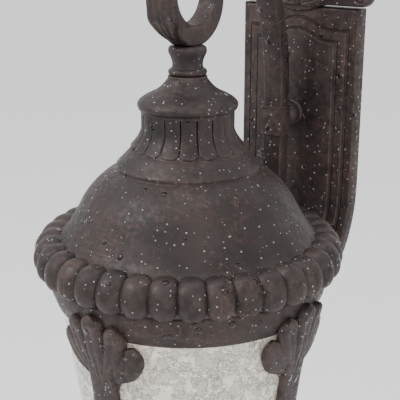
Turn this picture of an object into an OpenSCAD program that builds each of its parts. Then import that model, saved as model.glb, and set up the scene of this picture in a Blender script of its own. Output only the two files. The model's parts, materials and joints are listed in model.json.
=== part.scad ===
// Outdoor wall lantern: a cast wall plate, a crook arm and a hanging lantern with a domed, beaded roof.
// The origin is the centre of the wall plate's back face. +Z is up and the lantern hangs towards -Y.
// Lengths are in millimetres. Lantern parts are drawn about their own axis, with Z = 0 at the bead ring.

/* [Wall plate] */
// Width of the wall plate's front face
plate_w = 115; // [100:1:150]
// Height of the wall plate
plate_h = 270; // [250:1:320]
// Depth of the plate's rim, from the wall to its front face
plate_t = 11; // [9:0.5:16]
// Height of each of the two raised panels
panel_rise = 3; // [2:0.5:5]
// Border between the outlines of the plate and of its panels
panel_border = 9.4; // [7:0.1:12]
// Thickness of the plate's cast wall
plate_wall = 3; // [2:0.5:4]
// Height of the oval that closes the foot of the plate
plate_oval = 120; // [90:1:130]
// Height that the crest stands above the plate
crest_h = 40; // [20:1:60]

/* [Arm] */
// Distance from the wall to the lantern's axis
axis_out = 165; // [155:1:200]
// Width of the arm bar
arm_w = 18; // [14:0.5:24]
// Thickness of the arm bar
arm_t = 13; // [11:0.5:16]
// Gap between the plate's inner panel and the arm bar
arm_gap = 20; // [16:0.5:30]
// Radius of the arm's gentle outward bend
bend_r = 190; // [170:5:260]
// Angle from the vertical at which the arm leans out
lean = 22; // [18:0.5:26]
// Length of the straight run between the bend and the crook
lean_run = 68; // [50:1:110]
// Outer radius of the hanging ring
ring_r = 33.4; // [30:0.1:38]
// Radius of the ring's eye
eye_r = 23; // [18:0.5:25]
// Width of the leaf that covers the front of the ring
leaf_w = 28; // [22:1:34]

/* [Lantern head] */
// Radius of the lantern over its beads
rim_r = 120.6; // [110:0.1:125]
// Number of beads round the rim
bead_count = 36; // [24:2:48]
// Number of raised panels round the neck
neck_count = 18; // [12:2:24]
// Radius of the neck over its panels
neck_r = 35.2; // [32:0.1:38]
// Radius of the bell cap's rim
bell_r = 38.1; // [36:0.1:46]
// Wall of the cast roof parts
roof_wall = 3; // [2:0.5:4]

/* [Cage and glass] */
// Height of the glass
glass_h = 196; // [160:1:230]
// Inward slope of the glass, per unit of its height
glass_taper = 0.135; // [0.08:0.005:0.16]
// Thickness of the glass
glass_t = 3; // [2:0.5:4]
// Width of the strap ribs
rib_w = 24; // [18:0.5:28]
// Thickness of the strap ribs
rib_t = 5; // [4:0.5:8]
// Depth of the bowl under the base ring
bowl_h = 34; // [24:1:50]

/* [Lamps] */
// Radius of the circle that the lamps stand on
lamp_circle = 30; // [26:1:36]
// Radius of a candle sleeve
sleeve_r = 10.5; // [9.5:0.5:12]
// Height of a candle sleeve
sleeve_h = 62; // [45:1:80]
// Largest radius of a lamp bulb
bulb_r = 16.5; // [12:0.5:18]
// Height of a lamp bulb's envelope
bulb_h = 68; // [50:1:78]

/* [Fixings] */
// Distance between the mounting bar's box slots
slot_pitch = 69.85; // [60:0.05:75]
// Half width of a box slot
slot_r = 2.4; // [2:0.1:3]
// Length of a box slot, end to end
slot_len = 14; // [8:0.5:16]
// Distance between the two studs that hold the plate
stud_pitch = 40; // [30:1:44]
// Radius of the studs
stud_r = 2; // [1.5:0.1:2.5]
// Radius of the hollow pipe that carries the lantern
pipe_r = 5; // [4.5:0.5:6]
// Bore radius of the hollow pipe
pipe_bore = 3; // [2.5:0.5:4]

/* [Hidden] */
$fn = 96;
fit = 0.05;                                   // radial clearance of a part that turns or slides on another
gap = 0.3;                                    // clearance between parts that turn past each other
over = 1;                                     // how far a cut runs past a face
lead_w = 3;                                   // thickness of the lamp lead
duct_w = 5;                                   // width of the duct that the lead runs in

// Wall plate
plate_hw = plate_w / 2;
plate_top = plate_h / 2;
oval_z = plate_oval - plate_h / 2;            // level at which the oval foot starts
panel_front = plate_t + 2 * panel_rise;       // distance from the wall to the inner panel's face
back_flare = 1;                               // how much wider the plate is at the wall
crown_drop = 9.2;                             // fall of a panel's top edge from its crown to its shoulders
crown_flat = 3;                               // half width of the crown's flat middle
crown_run = 27;                               // width of the curve from crown to shoulder

// Levels of the lantern's parts above the bead ring
rim_z = -40;                                  // bead ring's level in the part's frame
bead_r = 9.55;
bead_hh = 13;                                 // half height of a bead
rib_count = 4;                                 // the ribs are named one by one: front, right, rear, left
rib_gap = 1.2;                                // space between the glass and the back of a rib
bead_ring_r = rim_r - bead_r;
dome_z = 17;                                  // lower edge of the dome
ledge_z = 68.3;
neck_z = 80.5;
neck_foot = neck_r + 9.6;                     // radius of the roof where the neck stands on it
ledge_r = neck_foot + 10;
roof_r = rim_r - 15;                          // radius of the roof's edge, behind the tops of the beads
roof_reach = rim_r - 9.1 - neck_foot;         // reach of the roof's curve, which the beads cut short
bell_z = 108;
seat_z = 134;
seat_top = 158.2;
skirt_top = 1 - bead_hh;
skirt_z = -37;
skirt_r = rim_r - 11.5;                       // outer radius of the skirt
skirt_lip = rim_r - 16.8;                     // outer radius of the skirt's lower edge
glass_r = skirt_lip - 2;                      // outer radius of the glass at its top edge
glass_top = -33;
glass_bot = glass_top - glass_h;
base_h = 12;                                  // height of the base ring's band above its tray
foot_in = glass_r - glass_taper * (glass_h - base_h) + rib_gap;
foot_out = foot_in + rib_t;                   // front of the ribs' feet, which the base ring's band closes over
base_r = foot_out + 2.6;                      // outer radius of the base ring
base_z = glass_bot - 5;                       // underside of the base ring
pan_z = glass_bot + 60;                       // top of the cluster pan
finial_h = 30;
neck_pitch = 360 / neck_count;

// Arm route, in the plane of the lantern's axis: [distance from the axis, level above the bead ring]
arm_y = axis_out - panel_front - arm_gap - arm_t / 2;
bend_z = 110;                                 // level at which the stem starts to bend
seam = 17.8;                                  // angle of the bend at which stem and crook meet
stem_foot = roof_level(arm_y - arm_t / 2) + 2.5 + arm_t / 2;
ring_z = seat_top - 0.6 + ring_r;
ring_mid = ring_r - arm_t / 2;                // how far the crook's front run is from the axis
eye_c = [2, ring_z + 5];
bend_c = [arm_y - bend_r, bend_z];
bend_end = bend_c + bend_r * [cos(lean), sin(lean)];
run_end = bend_end + lean_run * [-sin(lean), cos(lean)];
crook_r = (run_end[0] + ring_mid) / (1 + cos(lean));
crook_c = run_end - crook_r * [cos(lean), sin(lean)];
leaf_t = 2.4;
ring_front_r = ring_r - leaf_t;               // the ring's outer radius under the leaf
duct_r = 26;                                  // radius of the lead's turn inside the ring
post_z = 84;                                  // level of the post that stands the arm off the plate
collar_lo = 69;
collar_hi = 94.2;
collar_out = 0.9;                             // how far the collar stands out from the bar
lamp_count = 3;

bronze = [0.29, 0.25, 0.24];
steel = [0.72, 0.72, 0.70];

// ---- outlines and helpers ----

function arc(c, r, a0, a1, n) = [for (i = [0 : n]) c + r * [cos(a0 + (a1 - a0) * i / n), sin(a0 + (a1 - a0) * i / n)]];

function flip(list) = [for (i = [len(list) - 1 : -1 : 0]) list[i]];

function ease(t) = t <= 0 ? 0 : t >= 1 ? 1 : (1 - cos(180 * t)) / 2;

// Points of the cubic curve that leaves a for b and reaches d from c
function curve(a, b, c, d, n) =
    [for (i = [0 : n]) let (t = i / n, u = 1 - t) u * u * u * a + 3 * u * u * t * b + 3 * u * t * t * c + t * t * t * d];

// Outside radius of the neck at a level: straight above, flared towards its foot
function neck_at(z) = neck_r + 10.6 * pow(max(0, (98 - z) / 17.5), 1.7);

// Radius that lies a share of the way along the roof's reach
function at_roof(share) = neck_foot + share * roof_reach;

// Level of the roof under radius r, with the roof's edge beyond it
function roof_level(r) = max(concat([dome_z], [for (p = roof_line()) if (p[0] >= r) p[1]]));

function unit(v) = v / norm(v);

// Direction of a polyline at point i
function heading(p, i) = unit(p[min(i + 1, len(p) - 1)] - p[max(i - 1, 0)]);

// Polyline p moved sideways by d
function beside(p, d) = [for (i = [0 : len(p) - 1]) p[i] + d * [-heading(p, i)[1], heading(p, i)[0]]];

// Closed band of width w along polyline p
function band(p, w) = concat(beside(p, w / 2), flip(beside(p, -w / 2)));

// Oval foot of the plate or of a panel that is inset from it
function foot(inset, n) =
    [for (i = [0 : n]) [(plate_hw - inset) * cos(180 + 180 * i / n), oval_z + (plate_oval - inset) * sin(180 + 180 * i / n)]];

// Ogee top edge of a panel, from right to left
function ogee(hw, crown, n) =
    [for (i = [0 : n]) let (x = hw - 2 * hw * i / n) [x, crown - crown_drop * ease((abs(x) - crown_flat) / crown_run)]];

function plate_outline(inset) = concat([[plate_hw - inset, plate_top - inset], [-plate_hw + inset, plate_top - inset]], foot(inset, 36));

function panel_outline(inset) = concat(ogee(plate_hw - inset, plate_top - inset, 36), foot(inset, 36));

// Draws children about the lantern's axis
module at_axis() {
    translate([0, -axis_out, rim_z]) children();
}

// Extrudes an outline of the plane x = 0 to width w
module across(w) {
    translate([0, -axis_out, rim_z]) rotate([90, 0, 90]) linear_extrude(w, center = true) children();
}

// Extrudes an outline of the wall's plane out from the wall, between two distances
module off_wall(from, to) {
    translate([0, -from, 0]) rotate([90, 0, 0]) linear_extrude(to - from) children();
}

// A rod that stands out from the wall
module wall_rod(x, z, r, from, to) {
    translate([x, -from, z]) rotate([90, 0, 0]) cylinder(r = r, h = to - from);
}

// A hexagonal prism that stands out from the wall
module wall_hex(x, z, af, from, to) {
    translate([x, -from, z]) rotate([90, 0, 0]) cylinder(r = af / sqrt(3), h = to - from, $fn = 6);
}

module turned(points) {
    at_axis() rotate_extrude() polygon(points);
}

module at_studs() {
    for (side = [-1, 1]) translate([side * stud_pitch / 2, 0, stud_z]) children();
}

module at_lamps() {
    for (i = [0 : lamp_count - 1]) at_lamp(i) children();
}

module at_lamp(i) {
    at_axis() rotate(-90 + i * 360 / lamp_count) translate([lamp_circle, 0, 0]) children();
}

// ---- wall plate ----

stud_z = -65;
nut_len = 8;
bar_t = 2;
bar_h = 20;
bar_w = slot_pitch + slot_len + 8;
nipple_z = post_z + rim_z;
arm_back = panel_front + arm_gap;             // distance from the wall to the back of the arm bar

module wall_plate() {
    color(bronze) difference() {
        union() {
            off_wall(0, plate_t - 3) polygon(plate_outline(-back_flare));
            off_wall(plate_t - 3, plate_t) polygon(plate_outline(0));
            off_wall(plate_t, plate_t + panel_rise) polygon(panel_outline(panel_border));
            off_wall(plate_t + panel_rise, panel_front) polygon(panel_outline(2 * panel_border));
        }
        off_wall(-over, plate_t - plate_wall) polygon(plate_outline(plate_wall));
        off_wall(-over, plate_t + panel_rise - plate_wall) polygon(panel_outline(panel_border + plate_wall));
        off_wall(-over, panel_front - plate_wall) polygon(panel_outline(2 * panel_border + plate_wall));
        wall_rod(0, nipple_z, pipe_r + fit, 0, panel_front + over);
        at_studs() wall_rod(0, 0, stud_r + 0.2, 0, panel_front + over);
    }
}

crest_hw = 60;
scroll_r = 9;
crest_front = plate_t + 5;

// Lower edge of the crest, which dips over the plate at its middle
function crest_low(x) = plate_top + 2.4 - 6 * (1 - ease((abs(x) - 4) / 24));

function crest_top(x) = plate_top + 18 + (crest_h - 18) * (1 - ease(abs(x) / (crest_hw - 4)));

module crest_outline() {
    n = 40;
    polygon(concat(
        [for (i = [0 : n]) let (x = -crest_hw + 2 * crest_hw * i / n) [x, crest_low(x)]],
        [for (i = [n : -1 : 0]) let (x = -crest_hw + 2 * crest_hw * i / n) [x, crest_top(x)]]));
    for (side = [-1, 1]) translate([side * crest_hw, plate_top + 2.4 + scroll_r]) circle(scroll_r);
}

module crest() {
    color(bronze) {
        off_wall(plate_t, crest_front) crest_outline();
        off_wall(2, plate_t) intersection() {
            crest_outline();
            translate([-plate_w, plate_top + back_flare]) square([2 * plate_w, 2 * crest_h]);
        }
    }
}

module mounting_bar() {
    color(steel) difference() {
        translate([-bar_w / 2, -bar_t, stud_z - bar_h / 2]) cube([bar_w, bar_t, bar_h]);
        for (side = [-1, 1]) translate([side * slot_pitch / 2, over, stud_z]) rotate([90, 0, 0]) {
            for (end = [-1, 1]) translate([end * (slot_len / 2 - slot_r), 0, 0]) cylinder(r = slot_r, h = bar_t + 2 * over);
            translate([-slot_len / 2 + slot_r, -slot_r, 0]) cube([slot_len - 2 * slot_r, 2 * slot_r, bar_t + 2 * over]);
        }
        at_studs() wall_rod(0, 0, stud_r, -over, bar_t + over);
        wall_rod(0, stud_z, 1.6, -over, bar_t + over);
    }
}

module fixture_studs() {
    color(steel) at_studs() wall_rod(0, 0, stud_r, 0, panel_front + nut_len - 3);
}

module cap_nuts() {
    color(bronze) at_studs() difference() {
        union() {
            wall_rod(0, 0, 6, panel_front, panel_front + 3);
            translate([0, -panel_front - 3, 0]) intersection() {
                sphere(r = 5.4);
                translate([-6, -nut_len, -6]) cube([12, nut_len + 0.001, 12]);
            }
        }
        wall_rod(0, 0, stud_r + fit, panel_front - over, panel_front + nut_len - 2.6);
    }
}

module ground_screw() {
    color("green") {
        wall_rod(0, stud_z, 1.6, 0, bar_t);
        wall_rod(0, stud_z, 3.4, bar_t, bar_t + 2);
    }
}

// ---- arm ----

module arm_post() {
    mid = arm_gap / 2;
    color(bronze) translate([0, -panel_front, nipple_z]) rotate([90, 0, 0]) rotate_extrude() polygon(concat(
        [[pipe_r + fit, 0], [9.5, 0], [9.5, 2], [8, 3]],
        arc([0, mid], 12, -35, 35, 12),
        [[8, arm_gap - 3], [9, arm_gap - 2], [9, arm_gap], [pipe_r + fit, arm_gap]]));
}

nipple_in = panel_front - plate_wall - 7;     // inner end of the nipple, inside the plate
nipple_out = arm_back + arm_t / 2 - lead_w / 2 - gap; // outer end, short of the lead's upright run

module post_nipple() {
    color(steel) difference() {
        wall_rod(0, nipple_z, pipe_r, nipple_in, nipple_out);
        wall_rod(0, nipple_z, pipe_bore, nipple_in - over, nipple_out + over);
    }
}

module post_nut() {
    color(steel) difference() {
        wall_hex(0, nipple_z, 14, panel_front - plate_wall - 4, panel_front - plate_wall);
        wall_rod(0, nipple_z, pipe_r + fit, panel_front - plate_wall - 5, panel_front);
    }
}

leaf_root = 128;                              // angle on the crook at which the leaf starts
leaf_tip = 256;                               // angle on the ring at which it ends

// Outer radius of the crook, which is let in under the leaf
function crook_edge(a) = crook_r + arm_t / 2 - leaf_t * ease((a - leaf_root + 4) / 8);

// Outer radius of the ring, which comes out to its full size as the leaf tapers
function ring_edge(a) = ring_front_r + leaf_t * ease((a - 236) / 26);

// Edge that the leaf and the arm share, from the crook down to the leaf's tip
function leaf_seat() = concat(
    [for (a = [leaf_root : 4 : 180]) crook_c + crook_edge(a) * [cos(a), sin(a)]],
    [for (a = [180 : 4 : leaf_tip]) [0, ring_z] + ring_edge(a) * [cos(a), sin(a)]]);

// Centre line of the lead inside the arm, from the post to the pipe
function lead_line() = concat(
    [[arm_y, post_z], [arm_y, bend_z]], arc(bend_c, bend_r, 1, lean, 14), arc(crook_c, crook_r, lean, 180, 36),
    arc([duct_r - ring_mid, ring_z], duct_r, 180, 250, 12), [[0, ring_z - duct_r + 1.2], [0, seat_top + 2]]);

module stem_shape() {
    polygon(concat(arc(bend_c, bend_r + arm_t / 2, 0, seam, 14), arc(bend_c, bend_r - arm_t / 2, seam, 0, 14),
                   arc([arm_y, stem_foot], arm_t / 2, 180, 360, 12)));
}

module arm_stem() {
    color(bronze) difference() {
        across(arm_w) stem_shape();
        across(duct_w) polygon(band(concat([[arm_y, post_z - 3]], [for (p = lead_line()) if (p[1] > post_z + 1 && p[0] > 60) p]), duct_w));
        wall_rod(0, nipple_z, pipe_r + fit, arm_back - over, nipple_out);
    }
}

module arm_collar() {
    depth = arm_t + collar_out;
    module hoop(lo, hi, out) {
        translate([-arm_w / 2 - out, arm_y - arm_t / 2 - out, lo]) cube([arm_w + 2 * out, arm_t + out, hi - lo]);
    }
    color(bronze) at_axis() difference() {
        union() {
            hoop(collar_lo + 2, collar_hi - 2, collar_out);
            hoop(collar_lo, collar_lo + 2, collar_out + 0.7);
            hoop(collar_hi - 2, collar_hi, collar_out + 0.7);
        }
        translate([-arm_w / 2, arm_y - arm_t / 2, collar_lo - over]) cube([arm_w, depth + over, collar_hi - collar_lo + 2 * over]);
    }
}

ring_end = acos(-(ring_mid - arm_t / 2) / ring_r);

module crook_shape() {
    difference() {
        polygon(concat(
            arc(bend_c, bend_r + arm_t / 2, seam, lean, 3),
            arc(crook_c, crook_r + arm_t / 2, lean, leaf_root - 4, 28),
            leaf_seat(),
            [for (a = [leaf_tip + 4 : 4 : 360 + ring_end]) [0, ring_z] + ring_edge(a) * [cos(a), sin(a)]],
            [[0, ring_z] + ring_r * [cos(ring_end), sin(ring_end)]],
            arc(crook_c, crook_r - arm_t / 2, 180, lean, 40),
            arc(bend_c, bend_r - arm_t / 2, lean, seam, 3)));
        translate(eye_c) circle(eye_r);
    }
}

module arm_crook() {
    color(bronze) difference() {
        across(arm_w) crook_shape();
        across(duct_w) polygon(band(lead_line(), duct_w));
        at_axis() translate([0, 0, seat_top - 2 * over]) cylinder(r = pipe_r + fit, h = ring_z - duct_r - seat_top + 2 * over);
    }
}

// The leaf lies on the front of the crook and ring and tapers to a tip at the ring's foot
module arm_leaf() {
    outer = concat(arc(crook_c, crook_r + arm_t / 2, leaf_root, 180, 13), arc([0, ring_z], ring_r, 180, leaf_tip, 19));
    tip_z = ring_z + ring_r * sin(leaf_tip) - 0.5;
    rise = crook_c[1] + (crook_r + arm_t / 2) * sin(leaf_root) - tip_z;
    function half(t) = leaf_w / 2 * ease(t * 3.2) * ease((1 - t) * 1.8 + 0.08);
    color(bronze) intersection() {
        across(leaf_w + 2) polygon(concat(outer, flip(leaf_seat())));
        at_axis() translate([0, ring_r + over, 0]) rotate([90, 0, 0]) linear_extrude(2 * ring_r + crook_r) polygon(concat(
            [for (i = [0 : 30]) [half(i / 30), tip_z + rise * i / 30]],
            [for (i = [30 : -1 : 0]) [-half(i / 30), tip_z + rise * i / 30]]));
    }
}

module lamp_lead() {
    color("black") {
        across(lead_w) polygon(band(concat([[arm_y, post_z]], [for (p = lead_line()) if (p[1] > post_z) p], [[0, pan_z - 3]]), lead_w));
        wall_rod(0, nipple_z, lead_w / 2, nipple_in - 2, arm_back + arm_t / 2 - lead_w / 2 + 0.1);
    }
}

// ---- lantern head ----

pipe_top = ring_z - duct_r - 1;

module stem_pipe() {
    color(steel) at_axis() difference() {
        translate([0, 0, pan_z]) cylinder(r = pipe_r, h = pipe_top - pan_z);
        translate([0, 0, pan_z - over]) cylinder(r = pipe_bore, h = pipe_top - pan_z + 2 * over);
    }
}

module ring_seat() {
    color(bronze) difference() {
        turned([[pipe_r + fit, seat_z], [14.9, seat_z], [14.9, seat_z + 1.2], [14.2, seat_z + 1.6], [14.6, seat_z + 3],
                [14.6, seat_z + 6], [12.2, seat_z + 8.2], [11.4, seat_z + 10.5], [12.6, seat_z + 15], [14, seat_z + 18],
                [14.5, seat_z + 20.5], [14, seat_z + 22.6], [12.5, seat_top], [pipe_r + fit, seat_top]]);
        across(4 * arm_w) translate([0, ring_z]) circle(ring_r + fit);
    }
}

module bell_cap() {
    color(bronze) turned([[pipe_r + fit, seat_z - 3], [pipe_r + fit, seat_z], [15, seat_z], [16.6, seat_z - 2.2], [19.6, seat_z - 6],
            [25.6, seat_z - 10], [32.4, seat_z - 14], [bell_r - 1, seat_z - 17.4], [bell_r, seat_z - 19.4],
            [bell_r - 0.4, seat_z - 22], [bell_r - 2, seat_z - 24.6], [bell_r - 5, bell_z], [bell_r - 8, bell_z],
            [bell_r - 8, bell_z + 3], [22, seat_z - 12.5], [15, seat_z - 6]]);
}

module fluted_neck() {
    levels = [for (i = [0 : 8]) neck_z + (bell_z - neck_z) * i / 8];
    color(bronze) {
        turned(concat([for (z = levels) [neck_at(z) - 2, z]],
                      [for (i = [8 : -1 : 0]) [neck_at(levels[i]) - 2 - roof_wall, levels[i]]]));
        at_axis() for (i = [0 : neck_count - 1]) rotate(-90 - 0.42 * neck_pitch + i * neck_pitch)
            rotate_extrude(angle = 0.84 * neck_pitch) polygon(concat(
                [for (z = levels) [neck_at(z), z]], [for (i = [8 : -1 : 0]) [neck_at(levels[i]) - 3, levels[i]]]));
    }
}

// Outside of the roof: a shoulder below the neck's ledge, then a cove that runs out to the bead ring
function roof_line() = concat(
    curve([neck_foot, neck_z], [neck_foot + 4, neck_z - 4], [ledge_r - 3, ledge_z + 5], [ledge_r, ledge_z], 4),
    curve([ledge_r, ledge_z], [at_roof(0.32), 59.7], [at_roof(0.46), 52.3], [at_roof(0.565), 40], 10),
    curve([at_roof(0.565), 40], [at_roof(0.633), 32.1], [roof_r - 4.5, dome_z + 9], [roof_r, dome_z], 10));

module roof_dome() {
    color(bronze) turned(concat(
        roof_line(),
        [[roof_r, dome_z - 3], [roof_r - 7, dome_z - 3]],
        [for (p = flip(roof_line())) if (p[1] > dome_z + 4) p - [roof_wall * 1.3, roof_wall]],
        [[pipe_r + fit, neck_z - roof_wall], [pipe_r + fit, neck_z]]));
}

module bead() {
    rotate_extrude() polygon([for (a = [-90 : 22.5 : 90]) [bead_r * cos(a), bead_hh * sin(a)]]);
}

module bead_rim() {
    inner = bead_ring_r - bead_r - 1;
    color(bronze) at_axis() {
        rotate_extrude() polygon([[inner, skirt_top], [bead_ring_r + 1, skirt_top], [bead_ring_r + 3, 0.5],
                                  [roof_r + 1.2, dome_z - 3], [inner, dome_z - 3]]);
        for (i = [0 : bead_count - 1]) rotate(i * 360 / bead_count) translate([bead_ring_r, 0, 0]) bead();
    }
}

// Outside of the skirt's rolled lower edge, which the ribs follow
function skirt_edge() = concat(
    [[skirt_r, -22]], curve([skirt_r, -22], [skirt_r, -27], [skirt_lip + 3, -32], [skirt_lip + 1.2, -35], 5));

module skirt_ring() {
    shelf = glass_top + 2;
    color(bronze) turned(concat(
        [[skirt_r - 2, skirt_top], [skirt_r, skirt_top - 2]],
        skirt_edge(),
        [[skirt_lip, skirt_z], [glass_r + gap, skirt_z], [glass_r + gap, shelf], [glass_r - glass_t - 1, shelf],
         [glass_r - glass_t - 1, shelf + 2], [skirt_r - 4, shelf + 6], [skirt_r - 4, skirt_top]]));
}

module pipe_nut() {
    color(steel) at_axis() difference() {
        translate([0, 0, neck_z - roof_wall - 5]) cylinder(r = 9, h = 5, $fn = 6);
        translate([0, 0, neck_z - roof_wall - 6]) cylinder(r = pipe_r + fit, h = 7);
    }
}

// ---- glass and cage ----

function glass_at(z) = glass_r - glass_taper * (glass_top - z);

module glass_gasket() {
    color("black") turned([[glass_r - glass_t - 1, glass_top], [glass_r, glass_top], [glass_r, glass_top + 2], [glass_r - glass_t - 1, glass_top + 2]]);
}

module glass_shade() {
    color([0.93, 0.90, 0.80, 0.6]) turned([[glass_at(glass_bot) - glass_t, glass_bot], [glass_at(glass_bot), glass_bot],
            [glass_r, glass_top], [glass_r - glass_t, glass_top]]);
}

leaf_top = -19;
leaf_foot = -78;

// Front outline of a rib: [half width, level], from its foot up the strap and round the leaf's lobes
function rib_half() = concat(
    [[rib_w / 2, glass_bot], [rib_w / 2, leaf_foot]],
    curve([rib_w / 2, leaf_foot], [rib_w / 2 + 2, -66], [34, -62], [31, -46], 5),
    curve([31, -46], [31, -38], [24, -38], [22, -43], 3),
    curve([23.5, -40], [30, -32], [24, -22], [13, -27], 4),
    [[9.5, -31]],
    curve([9.5, -29], [12, -18], [4, leaf_top - 1], [0, leaf_top], 4));

// Section of a rib: the front first, down from the leaf's tip, then the back, up from the foot
function rib_section() = concat([
    [skirt_r + 2.4, leaf_top + 1], [skirt_r + 2.4, -28], [skirt_r + 0.6, -38], [glass_at(-60) + rib_gap + rib_t + 1.5, -60],
    [glass_at(leaf_foot) + rib_gap + rib_t, leaf_foot], [foot_out, glass_bot + base_h], [foot_out, glass_bot],
    [foot_in, glass_bot], [foot_in, glass_bot + base_h], [glass_at(leaf_foot) + rib_gap, leaf_foot],
    [skirt_lip - 1, -50], [skirt_lip + 1, skirt_z - 1]],
    [for (p = flip(skirt_edge())) p + [fit, 0]], [[skirt_r + fit, leaf_top + 1]]);

// One cast strap with its leaf, standing out from the axis at an angle
module rib(angle) {
    color(bronze) at_axis() rotate(angle) difference() {
        intersection() {
            rotate(-60) rotate_extrude(angle = 120) polygon(rib_section());
            rotate([90, 0, 90]) linear_extrude(rim_r + 10) polygon(concat(
                rib_half(), [for (p = flip(rib_half())) if (p[0] > 0) [-p[0], p[1]]]));
        }
        translate([foot_in - over, 0, screw_z]) rotate([0, 90, 0]) cylinder(r = screw_r + fit, h = rib_t + 2 * over);
    }
}

module rib_right() { rib(0); }

module rib_rear() { rib(90); }

module rib_left() { rib(180); }

module rib_front() { rib(-90); }

screw_r = 1.5;
screw_z = glass_bot + base_h / 2;

module base_ring() {
    color(bronze) difference() {
        turned([[glass_at(glass_bot) - 12, base_z], [base_r + 1, base_z], [base_r + 1, base_z + 2], [base_r, base_z + 4],
                [base_r, glass_bot + base_h - 1], [base_r - 1, glass_bot + base_h], [foot_out, glass_bot + base_h],
                [foot_out, glass_bot], [glass_at(glass_bot) - 12, glass_bot]]);
        at_axis() for (i = [0 : rib_count - 1]) rotate(i * 360 / rib_count)
            translate([foot_out - over, 0, screw_z]) rotate([0, 90, 0]) cylinder(r = screw_r + fit, h = base_r);
    }
}

bowl_r = base_r - 3;

module base_bowl() {
    n = 12;
    color(bronze) turned(concat(
        [for (i = [0 : n]) let (a = 90 * i / n) [14 + (bowl_r - 14) * cos(a), base_z - bowl_h * sin(a)]],
        [[3 + fit, base_z - bowl_h], [3 + fit, base_z - bowl_h + roof_wall]],
        [for (i = [n : -1 : 0]) let (a = 90 * i / n) [14 + (bowl_r - roof_wall - 14) * cos(a), base_z - (bowl_h - roof_wall) * sin(a)]]));
}

module base_screws() {
    color(steel) for (i = [0 : rib_count - 1]) at_axis() rotate(i * 360 / rib_count) translate([base_r, 0, screw_z])
        rotate([0, 90, 0]) rotate_extrude() polygon([[0, foot_in + 0.5 - base_r], [screw_r, foot_in + 0.5 - base_r],
                                                     [screw_r, 0], [3.4, 0], [3, 1.4], [0, 2.2]]);
}

module tie_rod() {
    color(steel) at_axis() translate([0, 0, base_z - bowl_h - finial_h + 14]) cylinder(r = 3, h = pan_z - 6 - (base_z - bowl_h - finial_h + 14));
}

module bottom_finial() {
    top = base_z - bowl_h - gap;
    color(bronze) difference() {
        turned(concat([[0, top], [13, top], [13, top - 2.5], [8.5, top - 4.5], [7.5, top - 7]],
            arc([0, top - 16.5], 10, 40, -50, 10), [[4.5, top - 26.5], [3.2, top - 28.5], [0, top - finial_h]]));
        at_axis() translate([0, 0, top - finial_h + 13]) cylinder(r = 3 + fit, h = finial_h);
    }
}

// ---- lamps ----

module cluster_pan() {
    color(steel) at_axis() difference() {
        rotate_extrude() polygon([[0, pan_z - 6], [12, pan_z - 6], [lamp_circle + 11, pan_z - 3], [lamp_circle + 13, pan_z + 2],
                                  [lamp_circle + 12, pan_z + 2], [lamp_circle + 10, pan_z], [0, pan_z]]);
        translate([0, 0, pan_z - 3]) cylinder(r = pipe_bore, h = 3 + over);
    }
}

module lamp_holders() {
    color("black") at_lamps() difference() {
        translate([0, 0, pan_z]) cylinder(r = sleeve_r - 2, h = sleeve_h - 2);
        translate([0, 0, pan_z + 20]) cylinder(r = 6 + fit, h = sleeve_h);
    }
}

module candle_sleeves() {
    color("ivory") at_lamps() difference() {
        translate([0, 0, pan_z]) cylinder(r = sleeve_r, h = sleeve_h);
        translate([0, 0, pan_z - over]) cylinder(r = sleeve_r - 1.5, h = sleeve_h + 2 * over);
    }
}

module bulb(i) {
    base = pan_z + 24;
    neck = pan_z + sleeve_h + gap;
    color("lightyellow") at_lamp(i) rotate_extrude() polygon(concat(
        [[0, base], [4, base], [6, base + 3], [6, neck], [7, neck], [9.5, neck + 5]],
        [for (t = [0 : 10]) let (a = -40 + 120 * t / 10) [bulb_r * cos(a), neck + bulb_h * 0.42 + (a < 0 ? 0.5 : 0.56) * bulb_h * sin(a)]],
        [[0, neck + bulb_h]]));
}

module bulb_1() { bulb(0); }

module bulb_2() { bulb(1); }

module bulb_3() { bulb(2); }

wall_plate();
crest();
mounting_bar();
fixture_studs();
cap_nuts();
ground_screw();
arm_post();
post_nipple();
post_nut();
arm_stem();
arm_collar();
arm_crook();
arm_leaf();
lamp_lead();
stem_pipe();
ring_seat();
bell_cap();
fluted_neck();
roof_dome();
bead_rim();
skirt_ring();
pipe_nut();
glass_gasket();
glass_shade();
rib_front();
rib_right();
rib_rear();
rib_left();
base_ring();
base_bowl();
base_screws();
tie_rod();
bottom_finial();
cluster_pan();
lamp_holders();
candle_sleeves();
bulb_1();
bulb_2();
bulb_3();
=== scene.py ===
"""Looks of an outdoor wall lantern: a wall plate, a crook arm and a beaded, glass-sided lantern."""

import json
import logging
import math
from collections.abc import Callable, Sequence
from dataclasses import dataclass, field
from enum import Enum

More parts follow.
